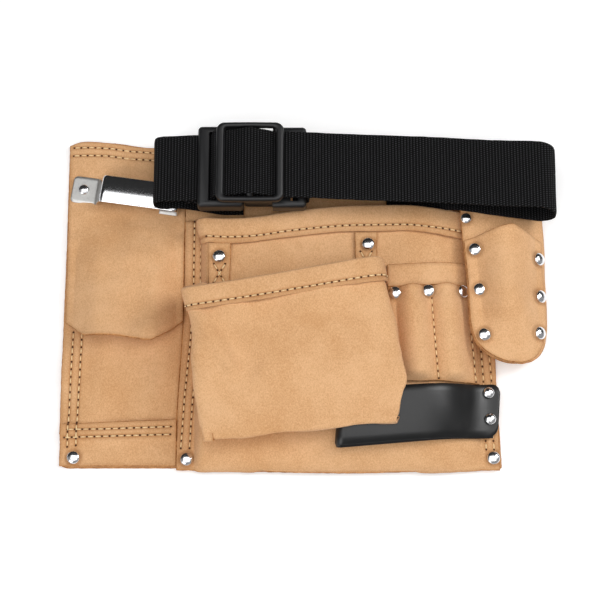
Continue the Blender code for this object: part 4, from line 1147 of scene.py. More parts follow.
# Main pocket
@dataclass(frozen=True)
class MainPocket:
    """The wide pocket over the panel, with the hem on its mouth."""

    left: float = -0.0885
    width: float = 0.2270
    bottom: float = -0.1225
    height: float = 0.1860
    seam: float = 0.0140
    wall: float = 0.0075
    depth: float = 0.0165
    foot: float = 0.0620
    right_seam: float = 0.0135
    right_fall: float = 0.0340
    lean: float = 0.0060
    hem: float = 0.0175
    sag: float = 0.0080
    hem_right: float = 0.1240
    mouth_start: float = 0.0080
    mouth: tuple[tuple[float, float], ...] = (
        (0.00, -0.10), (0.06, -0.62), (0.12, -0.72), (0.20, -0.62), (0.34, -0.05), (0.45, 0.28),
        (0.56, 0.50), (0.74, 0.56), (0.88, 0.20), (1.00, 0.05),
    )

    @property
    def right(self) -> float:
        """The pocket's right edge."""
        return self.left + self.width

    @property
    def top(self) -> float:
        """The usual height of its mouth."""
        return self.bottom + self.height

    def left_x(self, y: Array) -> Array:
        """The left edge, which leans out a little to its foot."""
        return self.left - 0.0030 * ease((-0.010 - y) / 0.080)

    def rise(self, x: Array, y: Array) -> Array:
        """The back face above the panel, as a share of the depth."""
        wall = ease((x - self.left_x(y) - self.seam + 0.002) / self.wall)
        right = np.sin(math.pi / 2.0 * clamp((self.right - self.right_seam - x) / self.right_fall)) ** 0.9
        return wall * right * (0.06 + 0.94 * arch((y - self.bottom) / self.foot))

    def front(self, x: Array, y: Array) -> Array:
        """The height of the front face."""
        return ON_PANEL + self.depth * self.rise(x, y) + LEATHER

    def mouth_y(self, x: Array) -> Array:
        """The mouth's sagging line."""
        share = (x - self.left - self.mouth_start) / (self.hem_right - self.left - self.mouth_start)
        return self.top + self.sag * read(self.mouth, clamp(share)) + 0.0004

    def place(self, u: Array, v: Array) -> Array:
        """The pocket's back face."""
        x_top = lerp(self.left, self.right - 0.004, u)
        low_y = self.bottom - 0.0022 * np.sin(math.pi * u) ** 2
        y = lerp(low_y, self.mouth_y(x_top), v)
        x = lerp(self.left_x(y), self.right - 0.002 * v, u)
        rise = self.rise(x, y)
        near_left = ease((0.030 + self.left + self.seam - x) / 0.030)
        lean = self.lean * ease((y - 0.036) / 0.026) * rise * near_left
        return xyz(x - lean, y, ON_PANEL + self.depth * rise)

    def on_front(self, x: Array, y: Array, lift: Array = 0.0) -> Array:
        """Points just over the pocket's front face."""
        return xyz(x, y, self.front(x, y) + SEAT + lift)

    def build(self, palette: Palette) -> list["Hide | Hem"]:
        """Makes the pocket and its hem."""
        rows = (
            ((-0.0820, 0.0690), (-0.0818, 0.0150), (-0.0832, -0.0250),
             (-0.0868, -0.0700), (-0.0888, -0.1070)),
            ((-0.0758, 0.0600), (-0.0757, 0.0150), (-0.0772, -0.0250),
             (-0.0810, -0.0720), (-0.0826, -0.1070)),
            ((0.1290, -0.0955), (0.1295, -0.1080)), ((0.1345, -0.0955), (0.1352, -0.1080)),
            ((0.1275, -0.0250), (0.1292, -0.0640)), ((0.1335, -0.0330), (0.1350, -0.0640)),
        )
        columns = shares(self.width, 0.0020, [(0.010, 0.014, 0.0008), (self.width - 0.022, 0.022, 0.0013)])
        dents = tuple(Dent(*place) for place in FOOT_RIVETS[1:])
        sheet = Hide("main_pocket_leather", self.place, columns,
                     shares(self.height, 0.0022, [(0.004, 0.012, 0.0011)]), LEATHER,
                     Ripple(15, ((0.055, 0.00030), (0.020, 0.00012), (0.009, 0.00005))), rows, dents,
                     (Fold(((0.020, -0.112), (0.120, -0.105)), 0.006, 0.0004),))
        hem = Hem("main_hem_leather", self.place, self.height, self.hem, 0.075,
                  (self.hem_right - self.left) / self.width, 3.6 * GAP, shares(self.width, 0.0012), 0.76)
        return sewn(palette, {"main_pocket": sheet, "main_pocket_binding": hem})


MAIN = MainPocket()


@dataclass
class Hem:
    """A leather strip folded over a sheet's mouth, place(u, 1)."""

    name: str
    place: Place
    length: float
    depth: float
    low: float
    high: float
    clearance: float
    columns: Array
    stitch: float
    thickness: float = BINDING_LEATHER
    bow: float = 0.0004
    groove_width: float = 0.0013
    groove_depth: float = 0.0005

    def frame_at(self, u: Array, rise: Array) -> tuple[Array, Array, Array]:
        """Points of the sheet at a rise from its mouth, with normals and the way up."""
        step_u, step_v = 0.004, self.depth / self.length / 2.0
        v = 1.0 + np.minimum(0.0, rise) / self.length
        side = self.place(np.minimum(1.0, u + step_u), v) - self.place(np.maximum(0.0, u - step_u), v)
        up = self.place(u, np.minimum(1.0, v + step_v)) - self.place(u, v - step_v)
        edge = unit(self.place(u, np.ones_like(u)) - self.place(u, np.full_like(u, 0.99)))
        return self.place(u, v) + edge * np.maximum(0.0, rise)[..., None], unit(np.cross(side, up)), edge

    def near_row(self, rise: float) -> float:
        """How much of the stitch row's groove is at a rise."""
        return math.exp(-(((rise + self.depth * self.stitch) / self.groove_width) ** 2))

    def section(self) -> Array:
        """The strip's cut: (rise, offset) pairs from its front edge over the fold and back inside."""
        thick = self.thickness
        front, back = LEATHER + self.clearance, -self.clearance
        middle = (front + back) / 2.0
        outer, inner = [], []
        for share in np.linspace(0.0, 1.0, 15):
            rise = -self.depth * (1.0 - share)
            groove = self.groove_depth * self.near_row(rise)
            outer.append((rise, front + thick + self.bow * math.sin(math.pi * share) - groove))
        fold, reach = (GAP + thick) * 1.15, (front - back) / 2.0 + thick
        for turn in np.linspace(0.0, math.pi, 11)[1:-1]:
            outer.append((fold * math.sin(turn), middle + reach * math.cos(turn)))
        for share in np.linspace(0.0, 1.0, 5):
            outer.append((-self.depth * 0.5 * share, back - thick))
        for share in np.linspace(1.0, 0.0, 5):
            inner.append((-self.depth * 0.5 * share, back))
        inner += [(GAP, middle), (0.0, front)]
        for share in np.linspace(0.1, 1.0, 6):
            inner.append((-self.depth * share, front))
        inner.append((-self.depth - 0.0004, front + thick * 0.35))
        inner.append((-self.depth - 0.0003, front + thick * 0.75))
        return np.array(outer + inner)

    def build(self, palette: Palette) -> bpy.types.Object:
        """Makes the strip with a soft, slightly uneven lower edge."""
        inside = (self.columns > self.low) & (self.columns < self.high)
        columns = np.concatenate([[self.low], self.columns[inside], [self.high]])
        section = self.section()
        wobble = Ripple(31, ((0.050, 0.00022), (0.012, 0.00006)))
        mouth = self.place(columns, np.ones_like(columns))
        drift = wobble(mouth)
        rings, grooves, edges = [], [], []
        for rise, offset in section:
            lowered = -rise / self.depth
            moved = np.full_like(columns, rise) + drift * max(0.0, lowered)
            point, normal, _ = self.frame_at(columns, moved)
            rings.append(point + normal * (offset + 0.12 * drift)[..., None])
            # painted shade along the stitch row, on the strip's outer face only
            near = self.near_row(rise)
            grooves.append(np.full_like(columns, near if offset > LEATHER else 0.0))
            edges.append(np.full_like(columns, abs(rise + self.depth)))
        grid = np.stack(rings, axis=1)
        numbers = {key: np.stack(found, axis=1).reshape(-1)
                   for key, found in (("groove", grooves), ("edge", edges))}
        return tube_of(self.name, grid, (palette.suede,), numbers)

    def seams(self) -> list[tuple[Array, Array]]:
        """The hem's stitch row."""
        columns = np.linspace(self.low + 0.012, self.high - 0.006, 160)
        point, normal, _ = self.frame_at(columns, np.full_like(columns, -self.depth * self.stitch))
        lift = LEATHER + self.clearance + self.thickness - 0.00012
        return [(point + normal * lift, normal)]


@dataclass(frozen=True)
class Tab:
    """A riveted strip at one end of the front pocket."""

    name: str
    node: str
    x: float
    drop: float
    rivet: tuple[float, float]
    width: float = 0.0155
    height: float = 0.0400
    under_hem: float = 0.0150

    def place(self, u: Array, v: Array) -> Array:
        """The strip's back face."""
        high = MAIN.top - self.under_hem - self.drop
        x = self.x + self.width * (u - 0.5) * (0.92 + 0.08 * v)
        return MAIN.on_front(x, lerp(high - self.height, high, v))

    def build(self, palette: Palette) -> list[Hide]:
        """Makes the strip, with its crossed stitches."""
        low = self.rivet[1] - 0.0055
        rows = tuple(
            ((self.x - side * 0.0042, low), (self.x + side * 0.0042, low - 0.0145)) for side in (-1.0, 1.0)
        )
        sheet = Hide(self.name, self.place, shares(self.width, 0.0009), shares(self.height, 0.0011), LEATHER,
                     Ripple(16, ((0.018, 0.00010), (0.007, 0.00005))), rows,
                     (Dent(*self.rivet),))
        return sewn(palette, {self.node: sheet})


TABS = (
    Tab("tab_leather_left", "pocket_tab_left", -0.0620, 0.0080, (-0.0623, 0.0304)),
    Tab("tab_leather_right", "pocket_tab_right", 0.0444, 0.0, (0.0459, 0.0397)),
)


@dataclass(frozen=True)
class FrontPocket:
    """The bag sewn on along its root: v runs down its back, round its foot and up its front."""

    left: float = -0.0825
    top_width: float = 0.1380
    top: float = 0.0100
    slant: float = 0.0250
    height: float = 0.1090
    foot_lift: float = 0.0062
    foot_slant: float = 0.0142
    front_rise: float = 0.0300
    foot_rise: float = 0.0190
    foot_round: float = 0.0020
    tuck: float = 0.0020
    hem: float = 0.0150
    back_rise: float = 0.0163
    root_rise: float = 0.0100
    loop_rise: float = 0.0330
    bend: float = 0.22
    round_side: float = 0.26
    back_rim: float = 0.0140
    round_wall: float = 0.30
    sides: tuple[tuple[float, ...], ...] = (
        (0.00, 0.063, 1.088, 0.135, 1.010), (0.08, 0.050, 1.104, 0.125, 1.017),
        (0.17, 0.028, 1.124, 0.113, 1.021), (0.24, 0.020, 1.146, 0.105, 1.024),
        (0.38, 0.012, 1.120, 0.095, 1.022), (0.52, 0.007, 1.090, 0.090, 1.018),
        (0.70, 0.003, 1.052, 0.088, 1.005), (0.86, -0.018, 1.012, 0.087, 0.985),
        (1.00, -0.056, 0.985, 0.087, 0.965),
    )

    def top_y(self, share: Array) -> Array:
        """The mouth's slanting line."""
        return self.top - self.slant / 2.0 + self.slant * share ** 1.15 - 0.0012

    def foot_y(self, share: Array) -> Array:
        """The foot's line."""
        return self.top_y(np.zeros_like(share)) - self.height + self.foot_lift + self.foot_slant * share

    def root_y(self, share: Array) -> Array:
        """The root, high on the right where the bag hangs over the hammer loop."""
        return self.foot_y(share) + self.root_rise + self.loop_rise * ease((share - 0.42) / 0.25)

    def place(self, u: Array, v: Array) -> Array:
        """The bag's back face."""
        turn = math.pi * clamp(u)
        cosine = np.cos(turn)
        side = np.sign(cosine) * np.abs(cosine) ** self.round_side
        wall = np.abs(np.sin(turn)) ** self.round_wall
        share = 0.5 - 0.5 * side
        along = clamp((v - self.bend) / (1.0 - self.bend))
        behind = ease((self.bend * 0.98 - v) / (self.bend * 0.4))
        edges = [self.left + self.top_width * read(self.sides, along, column) for column in (1, 2, 3, 4)]
        tuck = self.tuck * behind
        reach = wall * (1.0 - 0.6 * behind)
        x = lerp(lerp(edges[2], edges[0], reach) + tuck, lerp(edges[3], edges[1], reach) - tuck, share)
        foot, root, top = self.foot_y(share), self.root_y(share), self.top_y(share)
        back = v / self.bend
        rise_back = (self.back_rise * arch(back * 3.5)
                     + (self.foot_rise - self.foot_round - self.back_rise) * clamp(back) ** 4)
        front_rise = lerp(self.foot_rise, self.front_rise, ease(along * 1.1))
        rise_front = lerp(self.foot_rise - self.foot_round, front_rise, arch(along * 5.0))
        y_front = lerp(foot, top, along)
        low_front = (self.back_rise - LEATHER) * ease((root - y_front) / 0.0050)
        low_front = lerp(self.foot_rise - self.foot_round, low_front, ease(along / 0.14))
        behind_foot = v <= self.bend
        y = np.where(behind_foot, lerp(root, foot, ease(back)), y_front)
        y = y + self.back_rim * (1.0 - wall) * (1.0 - share) * ease((along - 0.55) / 0.45)
        rise = np.where(behind_foot, rise_back, rise_front)
        low = np.where(behind_foot, rise_back, low_front)
        root_x = lerp(edges[2], edges[3], share)
        base = MAIN.front(root_x, np.maximum(y, foot)) + SEAT + 0.0008 * (1.0 - wall)
        return xyz(x, y, base + lerp(low, rise, wall))

    def columns(self) -> Array:
        """Columns that are even over the bag's side walls and over its front."""
        walls = np.arcsin(np.linspace(0.0, 0.74, 10) ** (1.0 / self.round_wall)) / math.pi
        spread = 1.0 - 2.0 * np.linspace(0.012, 0.988, 96)
        middle = np.arccos(np.sign(spread) * np.abs(spread) ** (1.0 / self.round_side)) / math.pi
        return np.unique(np.round(np.concatenate([walls, middle[middle > walls[-1] + 1e-4], 1.0 - walls]), 7))

    def build(self, palette: Palette) -> list["Hide | Hem"]:
        """Makes the bag and its hem."""
        columns = self.columns()
        length = self.height / (1.0 - self.bend)
        rows = shares(length, 0.0017, [(self.bend * length, 0.010, 0.0009), (0.0, 0.006, 0.0009)])
        bag = Hide("front_pocket_leather", self.place, columns, rows, LEATHER,
                   Ripple(17, ((0.050, 0.00100), (0.022, 0.00030), (0.010, 0.00006))), (), (),
                   (Fold(((-0.078, -0.014), (-0.050, -0.058)), 0.0055, 0.0030),
                    Fold(((-0.068, -0.016), (-0.040, -0.056)), 0.009, -0.0030),
                    Fold(((0.040, -0.030), (0.062, -0.068)), 0.010, 0.0009)))
        hem = Hem("front_hem_leather", self.place, length, self.hem, columns[1], columns[-2], 2.2 * GAP,
                  columns, 0.80)
        return sewn(palette, {"front_pocket": bag, "front_pocket_binding": hem})


@dataclass(frozen=True)
class PencilPocket:
    """Two narrow tubes side by side under a band."""

    left: float = 0.0600
    width: float = 0.0600
    top: float = 0.0100
    height: float = 0.0710
    bulge: float = 0.0085
    seam: float = 0.0040
    band: float = 0.0160
    slope: float = 0.0030
    rivet_flat: float = 0.0072
    seam_flat: float = 0.0014
    rivets: tuple[tuple[float, float], ...] = ((0.0650, 0.0028), (0.0890, 0.0044), (0.1138, 0.0058))

    def place(self, u: Array, v: Array) -> Array:
        """The pocket's back face."""
        x = self.left + self.width * u + 0.0045 * (1.0 - v)
        y = lerp(self.top - self.height, self.top - self.slope * (1.0 - u), v)
        half = self.width / 2.0 - self.seam
        inside = np.where((u > 0.0) & (u < 1.0), (self.width * u - self.seam) % half, 0.0)
        inside = np.where((self.width * u < self.seam) | (self.width * (1.0 - u) < self.seam), 0.0, inside)
        flat = self.seam_flat
        tube = np.sin(math.pi * clamp((inside - flat) / (half - 2.0 * flat)))
        raised = ease(v / 0.10) * (0.75 + 0.25 * v) * (1.0 - 0.22 * ease((v - 0.72) / 0.28))
        for rivet_x, rivet_y in self.rivets:
            raised = raised * (1.0 - np.exp(-(np.hypot(x - rivet_x, y - rivet_y) / self.rivet_flat) ** 3))
        return MAIN.on_front(x, y, self.bulge * tube * raised + 0.0007 * ease((u - 0.70) / 0.20))

    def band_place(self, u: Array, v: Array) -> Array:
        """The band's back face."""
        x = self.left + (self.width - 0.003) * u
        return MAIN.on_front(x, self.top - self.slope * (1.0 - u) + SEAT + self.band * v)

    def build(self, palette: Palette) -> list[Hide]:
        """Makes the tubes and the band."""
        rows = (
            ((0.0917, -0.0010), (0.0928, -0.0230), (0.0940, -0.0450), (0.0950, -0.0600)),
            ((0.1195, -0.0250), (0.1222, -0.0600)),
        )
        columns = shares(self.width, 0.0011, [(0.030, 0.005, 0.0007)])
        pocket = Hide("pencil_pocket_leather", self.place, columns, shares(self.height, 0.0014), LEATHER,
                      Ripple(18, ((0.030, 0.00018), (0.011, 0.00006))),
                      rows, tuple(Dent(*place) for place in self.rivets))
        band = Hide("pencil_band_leather", self.band_place, shares(self.width, 0.0016),
                    shares(self.band, 0.0012), LEATHER, Ripple(19, ((0.024, 0.00010), (0.010, 0.00005))))
        return sewn(palette, {"pencil_pocket": pocket, "pencil_band": band})


@dataclass(frozen=True)
class Holster:
    """The tool holster at the right: a back piece and a bulging front."""

    left: float = 0.1135
    width: float = 0.0615
    bottom: float = -0.0480
    back_height: float = 0.1280
    front_height: float = 0.0990
    bulge: float = 0.0130
    roundness: float = 1.25
    peak: float = 0.0100
    floor: float = 0.0006
    sides: tuple[tuple[float, ...], ...] = (
        (0.00, 0.50, 0.68), (0.02, 0.38, 0.80), (0.07, 0.22, 0.91), (0.14, 0.12, 0.97),
        (0.24, 0.08, 1.00), (0.50, 0.06, 1.00), (0.75, 0.02, 1.00), (1.00, 0.00, 0.97),
    )

    @property
    def base(self) -> float:
        """The back piece's height beside the pocket."""
        return ON_PANEL + MAIN.depth + LAYER

    def back_z(self, x: Array) -> Array:
        """Flat beside the pocket, then round and down at the right."""
        reach = (x - self.left - self.width * 0.12) / (self.width * 0.90)
        return self.floor + (self.base - self.floor) * arch(1.0 - clamp(reach))

    def x_at(self, u: Array, along: Array) -> Array:
        """The outline at a share of the back piece's height."""
        left, right = (self.left + self.width * read(self.sides, along, column) for column in (1, 2))
        return lerp(left, right, u)

    def back_place(self, u: Array, v: Array) -> Array:
        """The back piece's back face."""
        x = self.x_at(u, v)
        return xyz(x, self.bottom + self.back_height * v, self.back_z(x))

    def front_place(self, u: Array, v: Array) -> Array:
        """The front piece's back face."""
        peak = self.peak * (1.0 - np.sqrt((np.abs(u - 0.58) / 0.58) ** 2 + 0.0016))
        height = self.front_height - self.peak + peak
        along = v * height / self.back_height
        x = lerp(self.x_at(0.01, along), self.x_at(0.975, along), u)
        inside = clamp((u - 0.12 - 0.06 * (1.0 - v)) / (0.78 - 0.06 * (1.0 - v)))
        bulge = self.bulge * np.sin(math.pi * inside) ** self.roundness * ease((v - 0.04) / 0.40)
        return xyz(x, self.bottom + 0.0006 + height * v, self.back_z(x) + LAYER * 1.15 + bulge)

    def build(self, palette: Palette) -> list[Hide]:
        """Makes both pieces."""
        dents = tuple(Dent(*place) for place in HOLSTER_RIVETS)
        back = Hide("holster_back_leather", self.back_place, shares(self.width, 0.0016),
                    shares(self.back_height, 0.0018, [(0.0, 0.010, 0.0008)]), LEATHER,
                    Ripple(20, ((0.030, 0.00012), (0.012, 0.00005))), (),
                    (Dent(*HOLSTER_TOP_RIVET, SMALL_CAP / 2.0),))
        front = Hide("holster_front_leather", self.front_place, shares(self.width, 0.0012),
                     shares(self.front_height, 0.0013, [(0.0, 0.008, 0.0007)]), LEATHER,
                     Ripple(21, ((0.045, 0.00055), (0.018, 0.00016), (0.009, 0.00005))), (), dents)
        return sewn(palette, {"holster_back": back, "holster_front": front})


HOLSTER = Holster()
HOLSTER_RIVETS = (
    (0.1234, 0.0350), (0.1260, 0.0050), (0.1283, -0.0284),
    (0.1700, 0.0308), (0.1702, 0.0025), (0.1685, -0.0250),
)


# Straps and hardware
@dataclass(frozen=True)
class HammerLoop:
    """A smooth black strap folded over at the left, both layers riveted at the right."""

    right: float = 0.1390
    length: float = 0.1160
    width: float = 0.0385
    middle_y: float = -0.0805
    riveted: float = 0.0200
    gap: float = 0.0080
    corner: float = 0.0070
    tilt: float = math.radians(4.6)
    spread: tuple[float, ...] = (-0.009, -0.006, -0.003, 0.0, 0.003, 0.006, 0.009)

    def point(self, along: Array, across: Array, lift: Array) -> Array:
        """A point of the loop over the pocket."""
        x = self.right - along * math.cos(self.tilt) + across * math.sin(self.tilt)
        y = self.middle_y - along * math.sin(self.tilt) + across * math.cos(self.tilt)
        under = sum(MAIN.front(x + step, y) for step in self.spread) / len(self.spread)
        return xyz(x, y, under + LOOP_SEAT + lift)

    def front_place(self, u: Array, v: Array) -> Array:
        """The back face of the upper layer at its riveted end."""
        return self.point(self.riveted * (1.0 - u), (v - 0.5) * self.width, LOOP_LEATHER + GAP)

    def path(self) -> Array:
        """The strap's middle line as (along, lift)."""
        half = LOOP_LEATHER / 2.0
        high, closed = LOOP_LEATHER + self.gap + half, LOOP_LEATHER + GAP + half
        turn = (high - half) / 2.0
        run = [(along, half) for along in np.linspace(0.003, self.length - turn, 60)]
        for angle in np.linspace(0.0, math.pi, 18)[1:]:
            run.append((self.length - turn + turn * math.sin(angle), half + turn * (1.0 - math.cos(angle))))
        fall = ((0.0, closed), (0.013, closed), (0.019, closed + 0.0001), (0.030, lerp(high, closed, 0.84)),
                (0.045, lerp(high, closed, 0.50)), (0.062, lerp(high, closed, 0.16)), (0.080, high),
                (self.length, high))
        for along in np.linspace(self.length - turn, 0.0, 84)[1:]:
            run.append((float(along), float(read(fall, np.array(along)))))
        return np.array(run)

    def build(self, palette: Palette) -> None:
        """Makes the strap with burnished, rounded edges."""
        half = LOOP_LEATHER / 2.0
        path = self.path()
        way = unit(np.gradient(path, axis=0))
        near = np.maximum(0.0, self.corner - path[:, 0])
        near[: len(path) // 2] = 0.0
        near = np.minimum(near, self.corner * 0.985)
        width = narrowed(self.width, self.corner, near)
        under = [(across, -edge_height(across, 0.47, 0.03)) for across in np.linspace(-0.5, 0.5, 15)]
        over = [(across, edge_height(across, 0.47, 0.03)) for across in np.linspace(0.5, -0.5, 15)]
        section = [*under, (0.5 + 0.006, 0.0), *over, (-0.5 - 0.006, 0.0)]
        rings = []
        for across, sign in section:
            reach = half * sign
            along, lift = path[:, 0] - reach * way[:, 1], path[:, 1] + reach * way[:, 0]
            rings.append(self.point(along, across * width, lift))
        piece = tube_of("hammer_loop_strap", np.stack(rings, axis=1), (palette.hide,))
        hand_over(piece, Slot.BLACK_LEATHER, "hammer_loop")


@dataclass(frozen=True)
class TapeBracket:
    """A bent plated strip: a foot on the flap, a raised plate and a hidden foot."""

    left: float = -0.1735
    foot: float = 0.0190
    length: float = 0.0810
    width: float = 0.0205
    rise: float = 0.0110
    y: float = 0.0885
    tilt: float = math.radians(-8.0)
    corner: float = 0.0030
    crown: float = 0.0008

    def build(self, palette: Palette) -> None:
        """Makes the strip with a faint crown, rounded edges and rounded foot corners."""
        foot_z = ON_PANEL + LAYER + SHEET_METAL / 2.0
        high_z, end = foot_z + self.rise, self.length
        corners = [
            ((0.0, 0.0, foot_z), 0.0), ((self.foot, 0.0, foot_z), 0.0020),
            ((self.foot + 0.005, 0.0, high_z), 0.0030), ((end, 0.0, high_z), 0.0030),
            ((end, 0.0, foot_z), 0.0020), ((end - 0.014, 0.0, foot_z), 0.0),
        ]
        line, run = evenly(np.array([tuple(point) for point in rounded_path(corners, 18)]), 0.0007)
        close = np.minimum(np.maximum(0.0, self.corner - run), self.corner * 0.97)
        width = narrowed(self.width, self.corner, close)
        half = SHEET_METAL / 2.0
        top = [(share, edge_height(share, 0.46, 0.04)) for share in np.linspace(-0.5, 0.5, 19)]
        under = [(share, -height) for share, height in reversed(top)]
        section = [*top, (0.505, 0.0), *under, (-0.505, 0.0)]
        turn = np.array(Matrix.Rotation(self.tilt, 3, "Z"))
        normal = unit(np.cross(np.gradient(line, axis=0), np.array((0.0, 1.0, 0.0))))
        rings = []
        for share, height in section:
            crown = self.crown * (1.0 - (2.0 * share) ** 2) * ease((run - self.foot) / 0.008)[:, None]
            local = line + normal * (half * height) + np.array((0.0, 0.0, 1.0)) * crown
            local = local + np.stack([np.zeros_like(width), width * share, np.zeros_like(width)], axis=-1)
            rings.append(local @ turn.T + np.array((self.left, self.y, 0.0)))
        piece = tube_of("tape_bracket_strip", np.stack(rings, axis=1), (palette.steel, palette.satin))
        for face in piece.data.polygons:
            face.material_index = int(face.center.z < foot_z + self.rise / 3.0)
        hand_over(piece, Slot.STEEL, "tape_bracket")


@dataclass(frozen=True)
class Fastening:
    """Sizes of the belt, its slide and its buckle."""

    belt_width: float = 0.0500
    belt_left: float = -0.1100
    belt_right: float = 0.1812
    y: float = 0.0905
    shift: float = 0.0030
    buckle_left: float = -0.0780
    buckle_width: float = 0.0620
    female: float = 0.0340
    male: float = 0.0450
    thick: float = 0.0135
    buckle_z: float = 0.0280
    buckle_rail: float = 0.0085
    bar: float = 0.0060
    slot: float = 0.0055
    slide_left: float = -0.0644
    slide_length: float = 0.0494
    slide_width: float = 0.0600
    rail: float = 0.0060
    slide_thick: float = 0.0045
    slide_z: float = 0.0470
    bar_thick: float = 0.0040
    sleeve_left: float = -0.0450
    sleeve_length: float = 0.1050
    sleeve_seam: float = 0.0050
    sleeve_room: float = 0.0030
    sleeve_shift: float = 0.0034

    @property
    def sleeve_half(self) -> float:
        """Half the width of the sleeve's hollow."""
        return self.belt_width / 2.0 + self.sleeve_room

    @property
    def inner_bar(self) -> float:
        """The middle of the bar that holds the sewn end."""
        return self.buckle_left + self.buckle_rail + self.slot + self.bar / 2.0

    @property
    def male_right(self) -> float:
        """The right end of the buckle."""
        return self.buckle_left + self.female + self.male

    @property
    def male_bar(self) -> float:
        """The middle of the bar that the free end turns round."""
        return self.male_right - self.bar / 2.0

    @property
    def bar_z(self) -> float:
        """The height of the inner bar."""
        return self.buckle_z + 0.0060

    @property
    def male_low(self) -> float:
        """The underside of the outer bar."""
        return self.buckle_z + 0.0035

    @property
    def low(self) -> float:
        """The belt's middle line on the panel."""
        return ON_PANEL + WEBBING / 2.0


@dataclass(frozen=True)
class Belt:
    """The webbing loop, from the sewn end over the holster and back through the slide."""

    kit: Fastening = Fastening()
    rib: float = 0.0022
    rib_height: float = 0.00018
    lap_height: float = 0.0195
    back_lane: tuple[tuple[float, float], ...] = (
        (0.00, 0.0022), (0.20, 0.0032), (0.40, 0.0034), (0.57, 0.0058), (0.66, 0.0046), (0.74, 0.0010),
        (0.84, -0.0032), (0.97, -0.0085), (1.00, -0.0088),
    )
    front_lane: tuple[tuple[float, float], ...] = (
        (0.00, 0.0022), (0.10, 0.0030), (0.39, 0.0030), (0.48, -0.0004), (0.68, 0.0000), (0.84, 0.0002),
        (0.90, -0.0015), (0.94, -0.0042), (0.97, -0.0060), (1.00, -0.0078),
    )

    def path(self) -> Array:
        """The belt's middle line."""
        kit = self.kit
        wrap = kit.bar_thick / 2.0 + 2.0 * GAP + WEBBING / 2.0
        over, under = kit.bar_z + wrap, kit.bar_z - wrap
        past_bar = kit.bar / 2.0 + 3.0 * GAP + WEBBING / 2.0
        male_under = kit.male_low - 2.0 * GAP - WEBBING / 2.0
        front = kit.slide_z - GAP - WEBBING / 2.0
        hump = kit.slide_z + kit.slide_thick + 2.0 * GAP + WEBBING / 2.0
        back_z = kit.buckle_z + kit.thick + 2.0 * GAP + WEBBING / 2.0
        over_holster = HOLSTER.base + LAYER + GAP + WEBBING / 2.0
        bar_x = kit.slide_left + kit.slide_length / 2.0
        slide_right = kit.slide_left + kit.slide_length - kit.rail
        corners = [
            ((kit.inner_bar - 0.026, 0, under), 0), ((kit.inner_bar + past_bar, 0, under), wrap * 0.85),
            ((kit.inner_bar + past_bar, 0, over), wrap * 0.85),
            ((kit.buckle_left - 0.004, 0, over - 0.0006), 0.010),
            ((kit.belt_left, 0, over - 0.0010), 0.0068), ((kit.belt_left, 0, self.lap_height), 0.0068),
            ((-0.0900, 0, self.lap_height), 0.010), ((-0.0620, 0, kit.low), 0.020),
            ((0.0720, 0, kit.low), 0.030),
            ((0.1100, 0, over_holster), 0.030), ((kit.belt_right, 0, over_holster - 0.0010), 0.0110),
            ((kit.belt_right, 0, front + 0.0008), 0.0110), ((slide_right - 0.0015, 0, front), 0.0050),
            ((bar_x + 0.0035, 0, hump), 0.0040), ((bar_x - 0.0035, 0, hump), 0.0040),
            ((kit.slide_left + kit.rail + 0.0015, 0, front), 0.0050),
            ((kit.slide_left - 0.0020, 0, front), 0.0013),
            ((kit.slide_left - 0.0020, 0, back_z), 0.0013), ((kit.male_bar + past_bar, 0, back_z), 0.0030),
            ((kit.male_bar + past_bar, 0, male_under), 0.0030),
            ((kit.male_bar - kit.bar / 2.0 - kit.slot + 0.0015, 0, male_under), 0),
        ]
        path = np.array([tuple(point) for point in rounded_path(corners, 30)])
        middle = (over_holster + front) / 2.0
        share = clamp((path[:, 0] - kit.belt_left) / (kit.belt_right - kit.belt_left))
        passed_left = np.maximum.accumulate(share < 0.02)
        passed_right = np.maximum.accumulate(passed_left & (share > 0.97) & (path[:, 2] > middle))
        front_run = passed_right | ~passed_left
        lane = np.where(front_run, read(self.front_lane, share), read(self.back_lane, share))
        path[:, 1] = kit.y + lane
        return path

    def build(self, palette: Palette) -> None:
        """Makes the strap with real ribs and thick selvedges."""
        line, run = evenly(self.path(), self.rib / 5.0)
        line = softened(line, 4)
        side = np.array((0.0, 1.0, 0.0))
        normal = unit(np.cross(side, np.gradient(line, axis=0)))
        half = WEBBING / 2.0
        edge_wave = Ripple(41, ((0.070, 0.00016), (0.014, 0.00005)))(line)
        sag = Ripple(42, ((0.080, 0.00018), (0.030, 0.00008)))
        shares_across = np.concatenate([[-0.5, -0.487, -0.465, -0.44], np.linspace(-0.38, 0.38, 9),
                                        [0.44, 0.465, 0.487, 0.5]])
        rib = self.rib_height * np.sin(run * math.tau / self.rib)
        rings, chart = [], []
        for sign in (-1.0, 1.0):
            for share in shares_across * -sign:
                near = max(0.0, abs(share) - 0.44) / 0.06
                thin = 1.0 - 0.55 * near ** 4
                strength = rib * (1.0 if near == 0.0 else max(0.25, 1.0 - near))
                across = share * self.kit.belt_width + edge_wave * abs(share) * 2.0
                point = line + side * across[:, None]
                height = sign * (half * thin + strength) + sag(point)
                rings.append(point + normal * height[:, None])
                chart.append(np.stack([run, across], axis=-1))
        piece = tube_of("belt_strap", np.stack(rings, axis=1), (palette.webbing,), None,
                        np.stack(chart, axis=1))
        hand_over(piece, Slot.WEBBING, "belt_webbing")
        self.build_sleeve(palette)

    def sleeve_place(self, u: Array, v: Array) -> Array:
        """The sleeve's back face, over the belt on the panel."""
        kit = self.kit
        inner = kit.low + WEBBING / 2.0 + GAP
        half = kit.sleeve_half
        offset = (v - 0.5) * 2.0 * (half + kit.sleeve_seam)
        reach = half - np.abs(offset)
        lift = (inner - ON_PANEL + 0.0004) * ease(reach / 0.0022)
        x, y = kit.sleeve_left + kit.sleeve_length * u, kit.y + kit.sleeve_shift + offset
        return xyz(x, y, ON_PANEL + lift)

